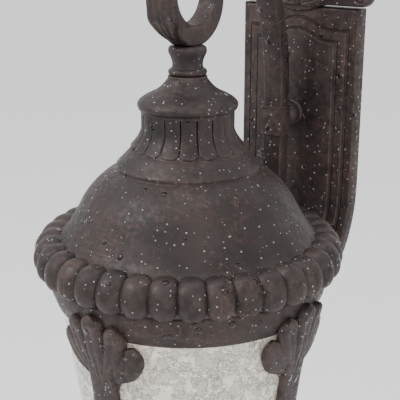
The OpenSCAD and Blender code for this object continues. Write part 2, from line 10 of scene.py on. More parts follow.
import bmesh
import bpy
from mathutils import Euler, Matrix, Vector


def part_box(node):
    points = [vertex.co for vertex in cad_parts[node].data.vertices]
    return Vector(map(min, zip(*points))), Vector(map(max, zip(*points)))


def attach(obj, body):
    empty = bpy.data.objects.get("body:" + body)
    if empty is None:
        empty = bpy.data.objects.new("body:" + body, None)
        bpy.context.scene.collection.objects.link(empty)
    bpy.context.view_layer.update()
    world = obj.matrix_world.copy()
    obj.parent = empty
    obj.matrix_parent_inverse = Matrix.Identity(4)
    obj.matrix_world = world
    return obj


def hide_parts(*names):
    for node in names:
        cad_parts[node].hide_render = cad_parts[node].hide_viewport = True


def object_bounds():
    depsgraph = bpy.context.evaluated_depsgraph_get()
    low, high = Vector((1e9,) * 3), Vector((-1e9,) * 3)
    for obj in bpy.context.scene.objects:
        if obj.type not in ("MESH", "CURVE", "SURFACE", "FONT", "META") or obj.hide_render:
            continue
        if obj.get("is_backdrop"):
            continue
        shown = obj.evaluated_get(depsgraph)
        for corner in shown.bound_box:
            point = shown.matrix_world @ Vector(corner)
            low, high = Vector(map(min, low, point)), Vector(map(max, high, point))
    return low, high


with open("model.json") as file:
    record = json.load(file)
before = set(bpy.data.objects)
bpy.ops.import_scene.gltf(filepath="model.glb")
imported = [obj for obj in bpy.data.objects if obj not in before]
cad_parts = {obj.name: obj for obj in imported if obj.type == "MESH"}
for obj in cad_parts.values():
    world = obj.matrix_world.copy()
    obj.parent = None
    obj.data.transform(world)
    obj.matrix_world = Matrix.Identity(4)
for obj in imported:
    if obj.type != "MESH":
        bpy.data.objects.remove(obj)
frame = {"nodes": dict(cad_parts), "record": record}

LOG = logging.getLogger("wall_lantern")
MM = 0.001
WEAR = "edge_wear"

Point = tuple[float, float]
Rgb = tuple[float, float, float]
Wrap = Callable[[float, float, float], Vector]


class Slot(Enum):
    """Material slots of the record that pieces take their finish from."""

    BRONZE = "bronze"
    ZINC = "zinc"
    GREEN = "ground_green"
    LEAD = "lead_jacket"
    GASKET = "gasket"
    GLASS = "seeded_glass"
    HOLDER = "holder_plastic"
    IVORY = "candle_ivory"
    BULB = "bulb_glass"


# ---- curves and shapes ----


def ease(t: float) -> float:
    """Returns a smooth 0 to 1 step for t between 0 and 1."""
    t = min(1.0, max(0.0, t))
    return (1 - math.cos(math.pi * t)) / 2


def arc(centre: Point, radius: float, start: float, end: float, steps: int) -> list[Point]:
    """Lists points on a circular arc.

    Args:
        centre: Centre of the arc.
        radius: Radius of the arc.
        start: First angle, in degrees.
        end: Last angle, in degrees.
        steps: Number of steps between the two.

    Returns:
        steps + 1 points.
    """
    angles = [math.radians(start + (end - start) * i / steps) for i in range(steps + 1)]
    return [(centre[0] + radius * math.cos(a), centre[1] + radius * math.sin(a)) for a in angles]


def oval(centre: Point, wide: float, high: float, degrees: Sequence[int]) -> list[Point]:
    """Lists points on an oval.

    Args:
        centre: Centre of the oval.
        wide: Half its width.
        high: Half its height.
        degrees: Angles of the points.

    Returns:
        The points, in order.
    """
    turns = [math.radians(a) for a in degrees]
    return [(centre[0] + wide * math.cos(a), centre[1] + high * math.sin(a)) for a in turns]


def bend(a: Point, b: Point, c: Point, d: Point, steps: int) -> list[Point]:
    """Lists points on the cubic curve that leaves a for b and reaches d from c.

    Args:
        a: Start.
        b: First handle.
        c: Second handle.
        d: End.
        steps: Number of steps along the curve.

    Returns:
        steps + 1 points.
    """
    out = []
    for i in range(steps + 1):
        t = i / steps
        u = 1 - t
        k = (u * u * u, 3 * u * u * t, 3 * u * t * t, t * t * t)
        out.append(tuple(sum(w * p[n] for w, p in zip(k, (a, b, c, d))) for n in (0, 1)))
    return out


def level(table: Sequence[Point], x: float) -> float:
    """Reads a value between the points of a short table.

    Args:
        table: Pairs of position and value, with the positions rising.
        x: Position to read.

    Returns:
        The value at x, held beyond the ends.
    """
    if x <= table[0][0]:
        return table[0][1]
    for (x0, y0), (x1, y1) in zip(table, table[1:]):
        if x <= x1:
            return y0 + (y1 - y0) * (x - x0) / (x1 - x0)
    return table[-1][1]


@dataclass
class Shape:
    """Points and faces of a piece while it is being built, in metres."""

    points: list[Vector] = field(default_factory=list)
    faces: list[tuple[int, ...]] = field(default_factory=list)

    def loft(self, rings: Sequence[Sequence[Vector]], closed: bool = True,
             caps: tuple[bool, bool] = (False, False)) -> "Shape":
        """Skins a row of rings.

        Args:
            rings: Rings with the same number of points.
            closed: Whether each ring's last point joins its first.
            caps: Whether the first and last rings are filled.

        Returns:
            The shape itself.
        """
        base = len(self.points)
        count = len(rings[0])
        for ring in rings:
            self.points.extend(ring)
        for i in range(len(rings) - 1):
            for j in range(count if closed else count - 1):
                a = base + i * count + j
                b = base + i * count + (j + 1) % count
                self.faces.append((a, b, b + count, a + count))
        if caps[0]:
            self.faces.append(tuple(base + j for j in range(count)))
        if caps[1]:
            last = base + (len(rings) - 1) * count
            self.faces.append(tuple(last + j for j in reversed(range(count))))
        return self

    def merge(self, other: "Shape") -> "Shape":
        """Adds another shape's points and faces and returns this shape."""
        base = len(self.points)
        self.points.extend(other.points)
        self.faces.extend(tuple(base + i for i in f) for f in other.faces)
        return self


def petal(spine: Sequence[Point], widths: Sequence[float], crown: float, vein: float, wrap: Wrap,
          across: int = 10) -> Shape:
    """Models one carved leaf lobe on a curved surface.

    Args:
        spine: The lobe's middle line on the surface, in mm, from its root to its tip.
        widths: Half widths along the spine, in mm.
        crown: Height of the lobe's back above the surface, in mm.
        vein: Depth of the groove along the middle, in mm.
        wrap: Places a point (along, up, out) of the surface in the room.
        across: Steps across the lobe.

    Returns:
        A closed lobe.
    """
    rings = []
    last = len(spine) - 1
    for i, (u, v) in enumerate(spine):
        a, b = spine[max(0, i - 1)], spine[min(last, i + 1)]
        tangent = Vector((b[0] - a[0], b[1] - a[1])).normalized()
        side = (-tangent.y, tangent.x)
        t = i / last
        width = level([(k / (len(widths) - 1), w) for k, w in enumerate(widths)], t)
        swell = 0.45 + 0.55 * math.sqrt(max(0.0, min(1.0, width / max(widths))))
        ring = []
        for j in range(across + 1):
            s = -1 + 2 * j / across
            dome = (1 - abs(s) ** 2.6) ** 0.5
            groove = vein * math.exp(-((s / 0.22) ** 2)) * ease(4 * (1 - t))
            out = crown * swell * dome - groove * dome
            ring.append(wrap(u + side[0] * width * s, v + side[1] * width * s, max(0.0, out)))
        rings.append(ring)
    return Shape().loft(rings, closed=True, caps=(True, True))


def tube(path: Sequence[Vector], radii: Sequence[float], sides: int = 12, squash: float = 1.0) -> Shape:
    """Sweeps a round or flattened section along a path in the wall's plane.

    Args:
        path: Points of the middle line, in metres, in a plane of constant Y.
        radii: Radius at each point, in metres.
        sides: Number of sides.
        squash: Depth of the section as a share of its width.

    Returns:
        A closed tube.
    """
    rings = []
    last = len(path) - 1
    for i, p in enumerate(path):
        ahead = (path[min(last, i + 1)] - path[max(0, i - 1)]).normalized()
        out = Vector((0, -1, 0))
        side = ahead.cross(out).normalized()
        ring = [p + side * radii[i] * math.cos(2 * math.pi * k / sides)
                + out * radii[i] * squash * math.sin(2 * math.pi * k / sides) for k in range(sides)]
        rings.append(ring)
    return Shape().loft(rings, caps=(True, True))


def slab(outline: Sequence[Point], holes: Sequence[Sequence[Point]], thick: float, round_over: float,
         wrap: Wrap, steps: int = 3) -> Shape:
    """Cuts a plate with rounded edges from a flat outline.

    Args:
        outline: Outer edge, in mm.
        holes: Inner edges, in mm.
        thick: Thickness, in mm.
        round_over: Radius of the rounded edges, in mm.
        wrap: Places a point (along, up, out) in the room, with out measured from the plate's middle.
        steps: Steps round each edge.

    Returns:
        A closed plate.
    """
    data = bpy.data.curves.new("outline", "CURVE")
    data.dimensions = "2D"
    data.fill_mode = "BOTH"
    data.extrude = thick / 2 - round_over
    data.bevel_depth = round_over
    data.bevel_resolution = steps
    data.offset = -round_over
    for edge in (outline, *holes):
        spline = data.splines.new("POLY")
        spline.points.add(len(edge) - 1)
        for point, (x, y) in zip(spline.points, edge):
            point.co = (x, y, 0, 1)
        spline.use_cyclic_u = True
    maker = bpy.data.objects.new("outline", data)
    bpy.context.scene.collection.objects.link(maker)
    mesh = bpy.data.meshes.new_from_object(maker.evaluated_get(bpy.context.evaluated_depsgraph_get()))
    shape = Shape([wrap(v.co.x, v.co.y, v.co.z) for v in mesh.vertices],
                  [tuple(p.vertices) for p in mesh.polygons])
    bpy.data.objects.remove(maker)
    bpy.data.curves.remove(data)
    bpy.data.meshes.remove(mesh)
    return shape


def mark_wear(work: bmesh.types.BMesh) -> None:
    """Stores how far each point stands out on an edge, for the copper that shows there.

    Args:
        work: The piece's editable mesh.
    """
    layer = work.verts.layers.float.new(WEAR)
    raw = {}
    for v in work.verts:
        turns = [e.calc_face_angle_signed(0.0) for e in v.link_edges if len(e.link_faces) == 2]
        raw[v] = max(0.0, min(1.0, 1.5 * max(turns, default=0.0)))
    for v in work.verts:
        near = [raw[e.other_vert(v)] for e in v.link_edges]
        v[layer] = 0.5 * raw[v] + 0.5 * (sum(near) / len(near) if near else 0.0)


def make_piece(name: str, shape: Shape, slot: Slot, finish: bpy.types.Material, body: str = "root",
               stands_for: Sequence[str] = (), crease: float = 38.0) -> bpy.types.Object:
    """Turns a shape into a finished piece of the lantern.

    Args:
        name: The piece's name.
        shape: Its points and faces.
        slot: The record's slot for its finish; not used.
        finish: Its material.
        body: The body that it rides on.
        stands_for: Nodes of the frame that it replaces.
        crease: Angle in degrees above which an edge stays sharp.

    Returns:
        The new object.
    """
    mesh = bpy.data.meshes.new(name)
    mesh.from_pydata([tuple(p) for p in shape.points], [], shape.faces)
    work = bmesh.new()
    work.from_mesh(mesh)
    bmesh.ops.remove_doubles(work, verts=work.verts, dist=0.00002)
    bmesh.ops.dissolve_degenerate(work, edges=work.edges, dist=0.000005)
    bmesh.ops.recalc_face_normals(work, faces=work.faces)
    for face in work.faces:
        face.smooth = True
    for edge in work.edges:
        edge.smooth = len(edge.link_faces) != 2 or edge.calc_face_angle(0.0) < math.radians(crease)
    mark_wear(work)
    work.to_mesh(mesh)
    work.free()
    mesh.materials.append(finish)
    piece = bpy.data.objects.new(name, mesh)
    bpy.context.scene.collection.objects.link(piece)
    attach(piece, body)
    if stands_for:
        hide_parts(*stands_for)
    return piece


# ---- finishes ----


class Graph:
    """A short way to add and join shader nodes."""

    def __init__(self, tree: bpy.types.NodeTree) -> None:
        """Keeps the node tree that is worked on."""
        self.tree = tree

    def add(self, kind: str, feeds: dict | None = None, **settings: object) -> bpy.types.Node:
        """Adds a node.

        Args:
            kind: The node's type.
            feeds: What goes into each input: a value, or another node's output.
            **settings: The node's own properties.

        Returns:
            The node.
        """
        node = self.tree.nodes.new(kind)
        for key, value in settings.items():
            setattr(node, key, value)
        for key, value in (feeds or {}).items():
            if isinstance(value, bpy.types.NodeSocket):
                self.tree.links.new(value, node.inputs[key])
            else:
                node.inputs[key].default_value = value
        return node

    def sum(self, operation: str, a: object, b: object, clamp: bool = False) -> bpy.types.NodeSocket:
        """Joins two numbers.

        Args:
            operation: The arithmetic to do.
            a: First number or output.
            b: Second number or output.
            clamp: Whether the answer is kept between 0 and 1.

        Returns:
            The output that carries the answer.
        """
        return self.add("ShaderNodeMath", {0: a, 1: b}, operation=operation, use_clamp=clamp).outputs[0]

    def step(self, value: bpy.types.NodeSocket, low: float, high: float, to_low: float = 0.0,
             to_high: float = 1.0) -> bpy.types.NodeSocket:
        """Maps a value smoothly from one range to another.

        Args:
            value: What is mapped.
            low: Where the step starts.
            high: Where it ends.
            to_low: Answer below the step.
            to_high: Answer above it.

        Returns:
            The output that carries the answer.
        """
        feeds = {"Value": value, "From Min": low, "From Max": high, "To Min": to_low, "To Max": to_high}
        return self.add("ShaderNodeMapRange", feeds, interpolation_type="SMOOTHSTEP").outputs["Result"]

    def blend(self, share: object, a: object, b: object) -> bpy.types.NodeSocket:
        """Mixes two colours.

        Args:
            share: How much of the second colour shows.
            a: First colour.
            b: Second colour.

        Returns:
            The mixed colour's output.
        """
        node = self.add("ShaderNodeMix", {0: share}, data_type="RGBA")
        for key, value in ((6, a), (7, b)):
            if isinstance(value, bpy.types.NodeSocket):
                self.tree.links.new(value, node.inputs[key])
            else:
                node.inputs[key].default_value = (*value, 1.0)
        return node.outputs[2]

    def noise(self, scale: object, detail: float = 3.0,
              place: bpy.types.NodeSocket | None = None) -> bpy.types.NodeSocket:
        """Adds a cloudy pattern.

        Args:
            scale: Its fineness, in cells per metre.
            detail: Number of finer layers.
            place: Coordinates, or the piece's own.

        Returns:
            The pattern's output.
        """
        if place is None:
            place = self.add("ShaderNodeTexCoord").outputs["Object"]
        return self.add("ShaderNodeTexNoise",
                        {"Vector": place, "Scale": scale, "Detail": detail}).outputs["Fac"]


def open_group(
    name: str, takes: dict[str, float], gives: Sequence[str]
) -> tuple[bpy.types.NodeTree, Graph, bpy.types.Node, bpy.types.Node]:
    """Starts a node group.

    Args:
        name: The group's name.
        takes: Its number inputs and their usual values.
        gives: Its number outputs.

    Returns:
        The tree, its graph, and its input and output nodes.
    """
    tree = bpy.data.node_groups.new(name, "ShaderNodeTree")
    for key, usual in takes.items():
        tree.interface.new_socket(key, in_out="INPUT", socket_type="NodeSocketFloat").default_value = usual
    for key in gives:
        tree.interface.new_socket(key, in_out="OUTPUT", socket_type="NodeSocketFloat")
    graph = Graph(tree)
    return tree, graph, graph.add("NodeGroupInput"), graph.add("NodeGroupOutput")


@dataclass
class Effects:
    """Surface effects that several finishes share, each a node group built once."""

    trees: dict[str, bpy.types.NodeTree] = field(default_factory=dict)

    def build(self) -> "Effects":
        """Builds every effect and returns this object."""
        self.trees = {"strokes": self.dry_brush(), "wear": self.worn_edges(), "rain": self.rain_drops(),
                      "grain": self.cast_grain()}
        return self

    def use(self, graph: Graph, effect: str, **values: float) -> bpy.types.Node:
        """Places an effect in a material.

        Args:
            graph: The material's graph.
            effect: The effect's short name.
            **values: Its inputs.

        Returns:
            The group node.
        """
        node = graph.add("ShaderNodeGroup", node_tree=self.trees[effect])
        for key, value in values.items():
            node.inputs[key].default_value = value
        return node

    def dry_brush(self) -> bpy.types.NodeTree:
        """Builds short dry-brushed strokes in patches and returns the group."""
        tree, g, takes, gives = open_group("dry_brush", {"Fineness": 1.0, "Cover": 0.5}, ["Mask"])
        place = g.add("ShaderNodeTexCoord").outputs["Object"]
        layers = []
        for turn, stretch in (((0.5, 0.35, 0.6), (20, 250, 230)), ((-0.4, 0.9, -0.3), (230, 22, 200)),
                              ((0.9, 0.2, 1.2), (215, 260, 18))):
            lay = g.add("ShaderNodeMapping", {"Vector": place, "Rotation": turn, "Scale": stretch}).outputs[0]
            layers.append(g.step(g.noise(takes.outputs["Fineness"], 2.0, lay), 0.52, 0.80))
        strokes = g.sum("MAXIMUM", g.sum("MAXIMUM", layers[0], layers[1]), layers[2])
        patch = g.step(g.noise(26.0, 2.0), 0.34, 0.66)
        mask = g.sum("MULTIPLY", g.sum("MULTIPLY", strokes, patch), takes.outputs["Cover"], clamp=True)
        tree.links.new(mask, gives.inputs["Mask"])
        return tree

    def worn_edges(self) -> bpy.types.NodeTree:
        """Builds the rub on raised edges and returns the group."""
        tree, g, takes, gives = open_group("worn_edges", {"Amount": 1.0}, ["Mask"])
        edge = g.add("ShaderNodeAttribute", attribute_name=WEAR).outputs["Fac"]
        broken = g.step(g.noise(160.0, 4.0), 0.36, 0.62)
        mask = g.sum("MULTIPLY", g.sum("MULTIPLY", edge, broken), takes.outputs["Amount"], clamp=True)
        tree.links.new(mask, gives.inputs["Mask"])
        return tree

    def rain_drops(self) -> bpy.types.NodeTree:
        """Builds scattered round drops of water and returns the group."""
        tree, g, takes, gives = open_group("rain_drops", {"Per metre": 150.0, "Reach": 0.22},
                                           ["Mask", "Height"])
        place = g.add("ShaderNodeTexCoord").outputs["Object"]
        cells = g.add("ShaderNodeTexVoronoi", {"Vector": place, "Scale": takes.outputs["Per metre"]})
        spread = g.add("ShaderNodeSeparateColor", {0: cells.outputs["Color"]}).outputs[0]
        reach = g.sum("MULTIPLY", takes.outputs["Reach"], g.step(spread, 0.0, 1.0, 0.35, 1.25))
        share = g.sum("DIVIDE", cells.outputs["Distance"], reach)
        dome = g.sum("SUBTRACT", 1.0, g.sum("MULTIPLY", share, share), clamp=True)
        tree.links.new(g.sum("SQRT", dome, 0.0), gives.inputs["Height"])
        tree.links.new(g.step(dome, 0.0, 0.18), gives.inputs["Mask"])
        return tree

    def cast_grain(self) -> bpy.types.NodeTree:
        """Builds the soft lumps and fine pits of sand-cast metal and returns the group."""
        tree, g, takes, gives = open_group("cast_grain", {"Lumps": 1.0, "Pits": 1.0}, ["Height"])
        lumps = g.sum("MULTIPLY", g.noise(70.0, 2.0), takes.outputs["Lumps"])
        pits = g.sum("MULTIPLY", g.noise(900.0, 2.0), takes.outputs["Pits"])
        tree.links.new(g.sum("ADD", lumps, pits), gives.inputs["Height"])
        return tree


def new_finish(name: str) -> tuple[bpy.types.Material, Graph, bpy.types.Node]:
    """Starts a material.

    Args:
        name: The material's name.

    Returns:
        The material, its graph and its main shader.
    """
    material = bpy.data.materials.new(name)
    material.use_nodes = True
    material.node_tree.nodes.clear()
    graph = Graph(material.node_tree)
    shader = graph.add("ShaderNodeBsdfPrincipled")
    out = graph.add("ShaderNodeOutputMaterial")
    material.node_tree.links.new(shader.outputs[0], out.inputs["Surface"])
    return material, graph, shader


@dataclass(frozen=True)
class AgedBronze:
    """Dark brown cast metal, dry-brushed with copper and wet with fine rain, with painted glints in the fine
    drops and painted shade in the large ones.
    """

    body: Rgb = (0.032, 0.0215, 0.0200)
    shade: Rgb = (0.015, 0.0105, 0.0098)
    copper: Rgb = (0.135, 0.066, 0.049)
    rub: Rgb = (0.085, 0.058, 0.050)
    # Pale grey painted into the fine drops' centres as their glints of light.
    painted_drop_glint: Rgb = (0.30, 0.30, 0.31)
    cover: float = 0.42
    wear: float = 0.6
    wet: float = 1.0

    def build(self, effects: Effects) -> bpy.types.Material:
        """Builds the material.

        Args:
            effects: The shared effects.

        Returns:
            The material.
        """
        material, g, shader = new_finish("aged_bronze")
        strokes = effects.use(g, "strokes", Fineness=1.45, Cover=self.cover).outputs["Mask"]
        wear = effects.use(g, "wear", Amount=self.wear).outputs["Mask"]
        fine = effects.use(g, "rain", **{"Per metre": 235.0, "Reach": 0.20 * self.wet})
        large = effects.use(g, "rain", **{"Per metre": 66.0, "Reach": 0.165 * self.wet})
        ground = g.blend(g.step(g.noise(22.0, 4.0), 0.36, 0.66), self.shade, self.body)
        brushed = g.blend(strokes, ground, self.copper)
        rubbed = g.blend(wear, brushed, self.rub)
        wetness = g.sum("MAXIMUM", fine.outputs["Mask"], large.outputs["Mask"])
        # Painted highlight: the centres of the fine drops are lightened towards pale grey to stand for glints
        # of light on the water.
        painted_glints = g.blend(g.sum("MULTIPLY", g.step(fine.outputs["Height"], 0.45, 0.95), 0.75), rubbed,
                         self.painted_drop_glint)
        # Painted shade: the large drops are darkened towards the dark tone, partly for their wet look and
        # partly for the dark rims that light gives water drops.
        g.tree.links.new(g.blend(g.sum("MULTIPLY", large.outputs["Mask"], 0.4), painted_glints, self.shade),
                         shader.inputs["Base Color"])
        dry = g.step(g.noise(240.0, 3.0), 0.30, 0.70, 0.40, 0.56)
        rough = g.sum("ADD", g.sum("MULTIPLY", g.sum("SUBTRACT", 1.0, wetness), dry), 0.05)
        g.tree.links.new(rough, shader.inputs["Roughness"])
        grain = effects.use(g, "grain", Lumps=0.55, Pits=0.05).outputs["Height"]
        drops = g.sum("ADD", g.sum("MULTIPLY", fine.outputs["Height"], 0.8),
                      g.sum("MULTIPLY", large.outputs["Height"], 1.8))
        height = g.sum("ADD", grain, drops)
        relief = g.add("ShaderNodeBump", {"Height": height, "Distance": 1.0 * MM, "Strength": 1.0})
        g.tree.links.new(relief.outputs[0], shader.inputs["Normal"])
        shader.inputs["Metallic"].default_value = 0.30
        shader.inputs["Specular IOR Level"].default_value = 0.42
        return material


@dataclass(frozen=True)
class SeededGlass:
    """Cream water glass with a rippled face, fine seeds and grey specks, and a faint painted glow."""

    cream: Rgb = (0.93, 0.89, 0.79)
    speck: Rgb = (0.10, 0.10, 0.09)
    deep: Rgb = (0.60, 0.57, 0.48)
    painted_glow: Rgb = (1.0, 0.93, 0.78)

    def build(self, effects: Effects) -> bpy.types.Material:
        """Builds the material.

        Args:
            effects: The shared effects.

        Returns:
            The material.
        """
        material, g, shader = new_finish("seeded_glass")
        ripple = g.noise(130.0, 2.0)
        frost = g.noise(330.0, 2.0)
        seam = g.add("ShaderNodeMath", {0: g.sum("SUBTRACT", frost, 0.5)}, operation="ABSOLUTE").outputs[0]
        wave = g.add("ShaderNodeMath", {0: g.sum("SUBTRACT", ripple, 0.5)}, operation="ABSOLUTE").outputs[0]
        seeds = effects.use(g, "rain", **{"Per metre": 170.0, "Reach": 0.20})
        tone = g.blend(g.step(ripple, 0.36, 0.58), self.deep, self.cream)
        thin = g.sum("MULTIPLY", g.step(seam, 0.0, 0.075, 1.0, 0.0), g.step(g.noise(75.0, 2.0), 0.40, 0.58))
        broad = g.sum("MULTIPLY", g.step(wave, 0.0, 0.045, 1.0, 0.0), 0.8)
        marks = g.sum("MAXIMUM", g.sum("MAXIMUM", thin, broad), g.sum("MULTIPLY", seeds.outputs["Mask"], 0.5))
        g.tree.links.new(g.blend(g.sum("MULTIPLY", marks, 0.85), tone, self.speck),
                         shader.inputs["Base Color"])
        height = g.sum("ADD", g.sum("MULTIPLY", ripple, 4.5),
                       g.sum("ADD", g.sum("MULTIPLY", frost, 1.6),
                             g.sum("MULTIPLY", seeds.outputs["Height"], 0.6)))
        relief = g.add("ShaderNodeBump", {"Height": height, "Distance": 2.0 * MM, "Strength": 1.0})
        g.tree.links.new(relief.outputs[0], shader.inputs["Normal"])
        shader.inputs["Roughness"].default_value = 0.24
        shader.inputs["IOR"].default_value = 1.45
        shader.inputs["Transmission Weight"].default_value = 0.22
        # Painted light: a faint cream emission makes the glass glow as if lit through, though it is no lamp.
        shader.inputs["Emission Color"].default_value = (*self.painted_glow, 1.0)
        shader.inputs["Emission Strength"].default_value = 0.14
        return material


@dataclass(frozen=True)
class PlainFinish:
    """A simple moulded, plated or painted finish with its own grain."""

    name: str
    body: Rgb
    tint: Rgb
    rough: tuple[float, float] = (0.35, 0.5)
    metallic: float = 0.0
    transmission: float = 0.0
    emission: float = 0.0
    grain: float = 0.1

    def build(self, effects: Effects) -> bpy.types.Material:
        """Builds the material.

        Args:
            effects: The shared effects.

        Returns:
            The material.
        """
        material, g, shader = new_finish(self.name)
        cloud = g.step(g.noise(90.0, 4.0), 0.35, 0.65)
        g.tree.links.new(g.blend(cloud, self.body, self.tint), shader.inputs["Base Color"])
        g.tree.links.new(g.step(g.noise(260.0, 3.0), 0.3, 0.7, *self.rough), shader.inputs["Roughness"])
        pits = effects.use(g, "grain", Lumps=self.grain, Pits=0.05).outputs["Height"]
        relief = g.add("ShaderNodeBump", {"Height": pits, "Distance": 1.0 * MM, "Strength": 0.6})
        g.tree.links.new(relief.outputs[0], shader.inputs["Normal"])
        shader.inputs["Metallic"].default_value = self.metallic
        shader.inputs["Transmission Weight"].default_value = self.transmission
        if self.emission:
            shader.inputs["Emission Color"].default_value = (1.0, 0.72, 0.40, 1.0)
            shader.inputs["Emission Strength"].default_value = self.emission
        return material


def build_finishes(effects: Effects) -> dict[Slot, bpy.types.Material]:
    """Builds one material for each slot.

    Args:
        effects: The shared effects.

    Returns:
        The materials by slot.
    """
    plain = {
        Slot.ZINC: PlainFinish("zinc_plate", (0.50, 0.50, 0.47), (0.62, 0.61, 0.55), (0.26, 0.42), 0.9),
        Slot.GREEN: PlainFinish("ground_paint", (0.03, 0.24, 0.08), (0.05, 0.30, 0.10), (0.35, 0.5)),
        Slot.LEAD: PlainFinish("lead_jacket", (0.016, 0.016, 0.017), (0.026, 0.026, 0.027), (0.5, 0.7)),
        Slot.GASKET: PlainFinish("gasket_rubber", (0.02, 0.02, 0.02), (0.035, 0.034, 0.033), (0.6, 0.8)),
        Slot.HOLDER: PlainFinish("holder_plastic", (0.012, 0.012, 0.012), (0.022, 0.021, 0.020), (0.35, 0.5)),
        Slot.IVORY: PlainFinish("candle_ivory", (0.74, 0.64, 0.44), (0.82, 0.74, 0.55), (0.34, 0.5),
                                grain=0.5),
        Slot.BULB: PlainFinish("bulb_glass", (0.95, 0.90, 0.80), (0.98, 0.94, 0.86), (0.03, 0.08), 0.0, 0.6,
                               1.2, 0.02),
    }
    finishes = {slot: finish.build(effects) for slot, finish in plain.items()}
    finishes[Slot.BRONZE] = AgedBronze().build(effects)
    finishes[Slot.GLASS] = SeededGlass().build(effects)
    return finishes


# ---- the lantern's own frame ----


@dataclass(frozen=True)
class Layout:
    """Where the lantern's axis and bead ring are, read from the frame. Sizes are in mm, places in metres."""

    axis_y: float
    rim_z: float
    glass_foot: float
    bowl_foot: float
    finial_foot: float

    @classmethod
    def read(cls) -> "Layout":
        """Reads the layout from the nodes' boxes and returns it."""
        low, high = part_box("bead_rim")
        rim = low[2] + 13 * MM
        return cls(
            axis_y=(low[1] + high[1]) / 2,
            rim_z=rim,
            glass_foot=(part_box("glass_shade")[0][2] - rim) / MM,
            bowl_foot=(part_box("base_bowl")[0][2] - rim) / MM,
            finial_foot=(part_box("bottom_finial")[0][2] - rim) / MM,
        )

    def about_axis(self, radius: float, angle: float, height: float) -> Vector:
        """Places a point round the lantern's axis.

        Args:
            radius: Distance from the axis, in mm.
            angle: Angle from the front towards the right, in radians.
            height: Level above the bead ring, in mm.

        Returns:
            The point in metres.
        """
        return Vector((radius * MM * math.sin(angle), self.axis_y - radius * MM * math.cos(angle),
                       self.rim_z + height * MM))

    def in_arm(self, out: float, height: float, across: float) -> Vector:
        """Returns a point of the arm's plane: out towards the wall, up from the bead ring, and across."""
        return Vector((across * MM, self.axis_y + out * MM, self.rim_z + height * MM))

    def turned(self, profile: Sequence[Point], segments: int = 160, closed: bool = True) -> Shape:
        """Turns a profile about the lantern's axis.

        Args:
            profile: Points (radius, level) in mm.
            segments: Steps round the axis.
            closed: Whether the profile's end joins its start.

        Returns:
            The turned shape.
        """
        points = list(profile) + ([profile[0]] if closed else [])
        rings = [[self.about_axis(r, 2 * math.pi * k / segments, z) for k in range(segments)]
                 for r, z in points]
        return Shape().loft(rings)


# ---- sub-assemblies ----


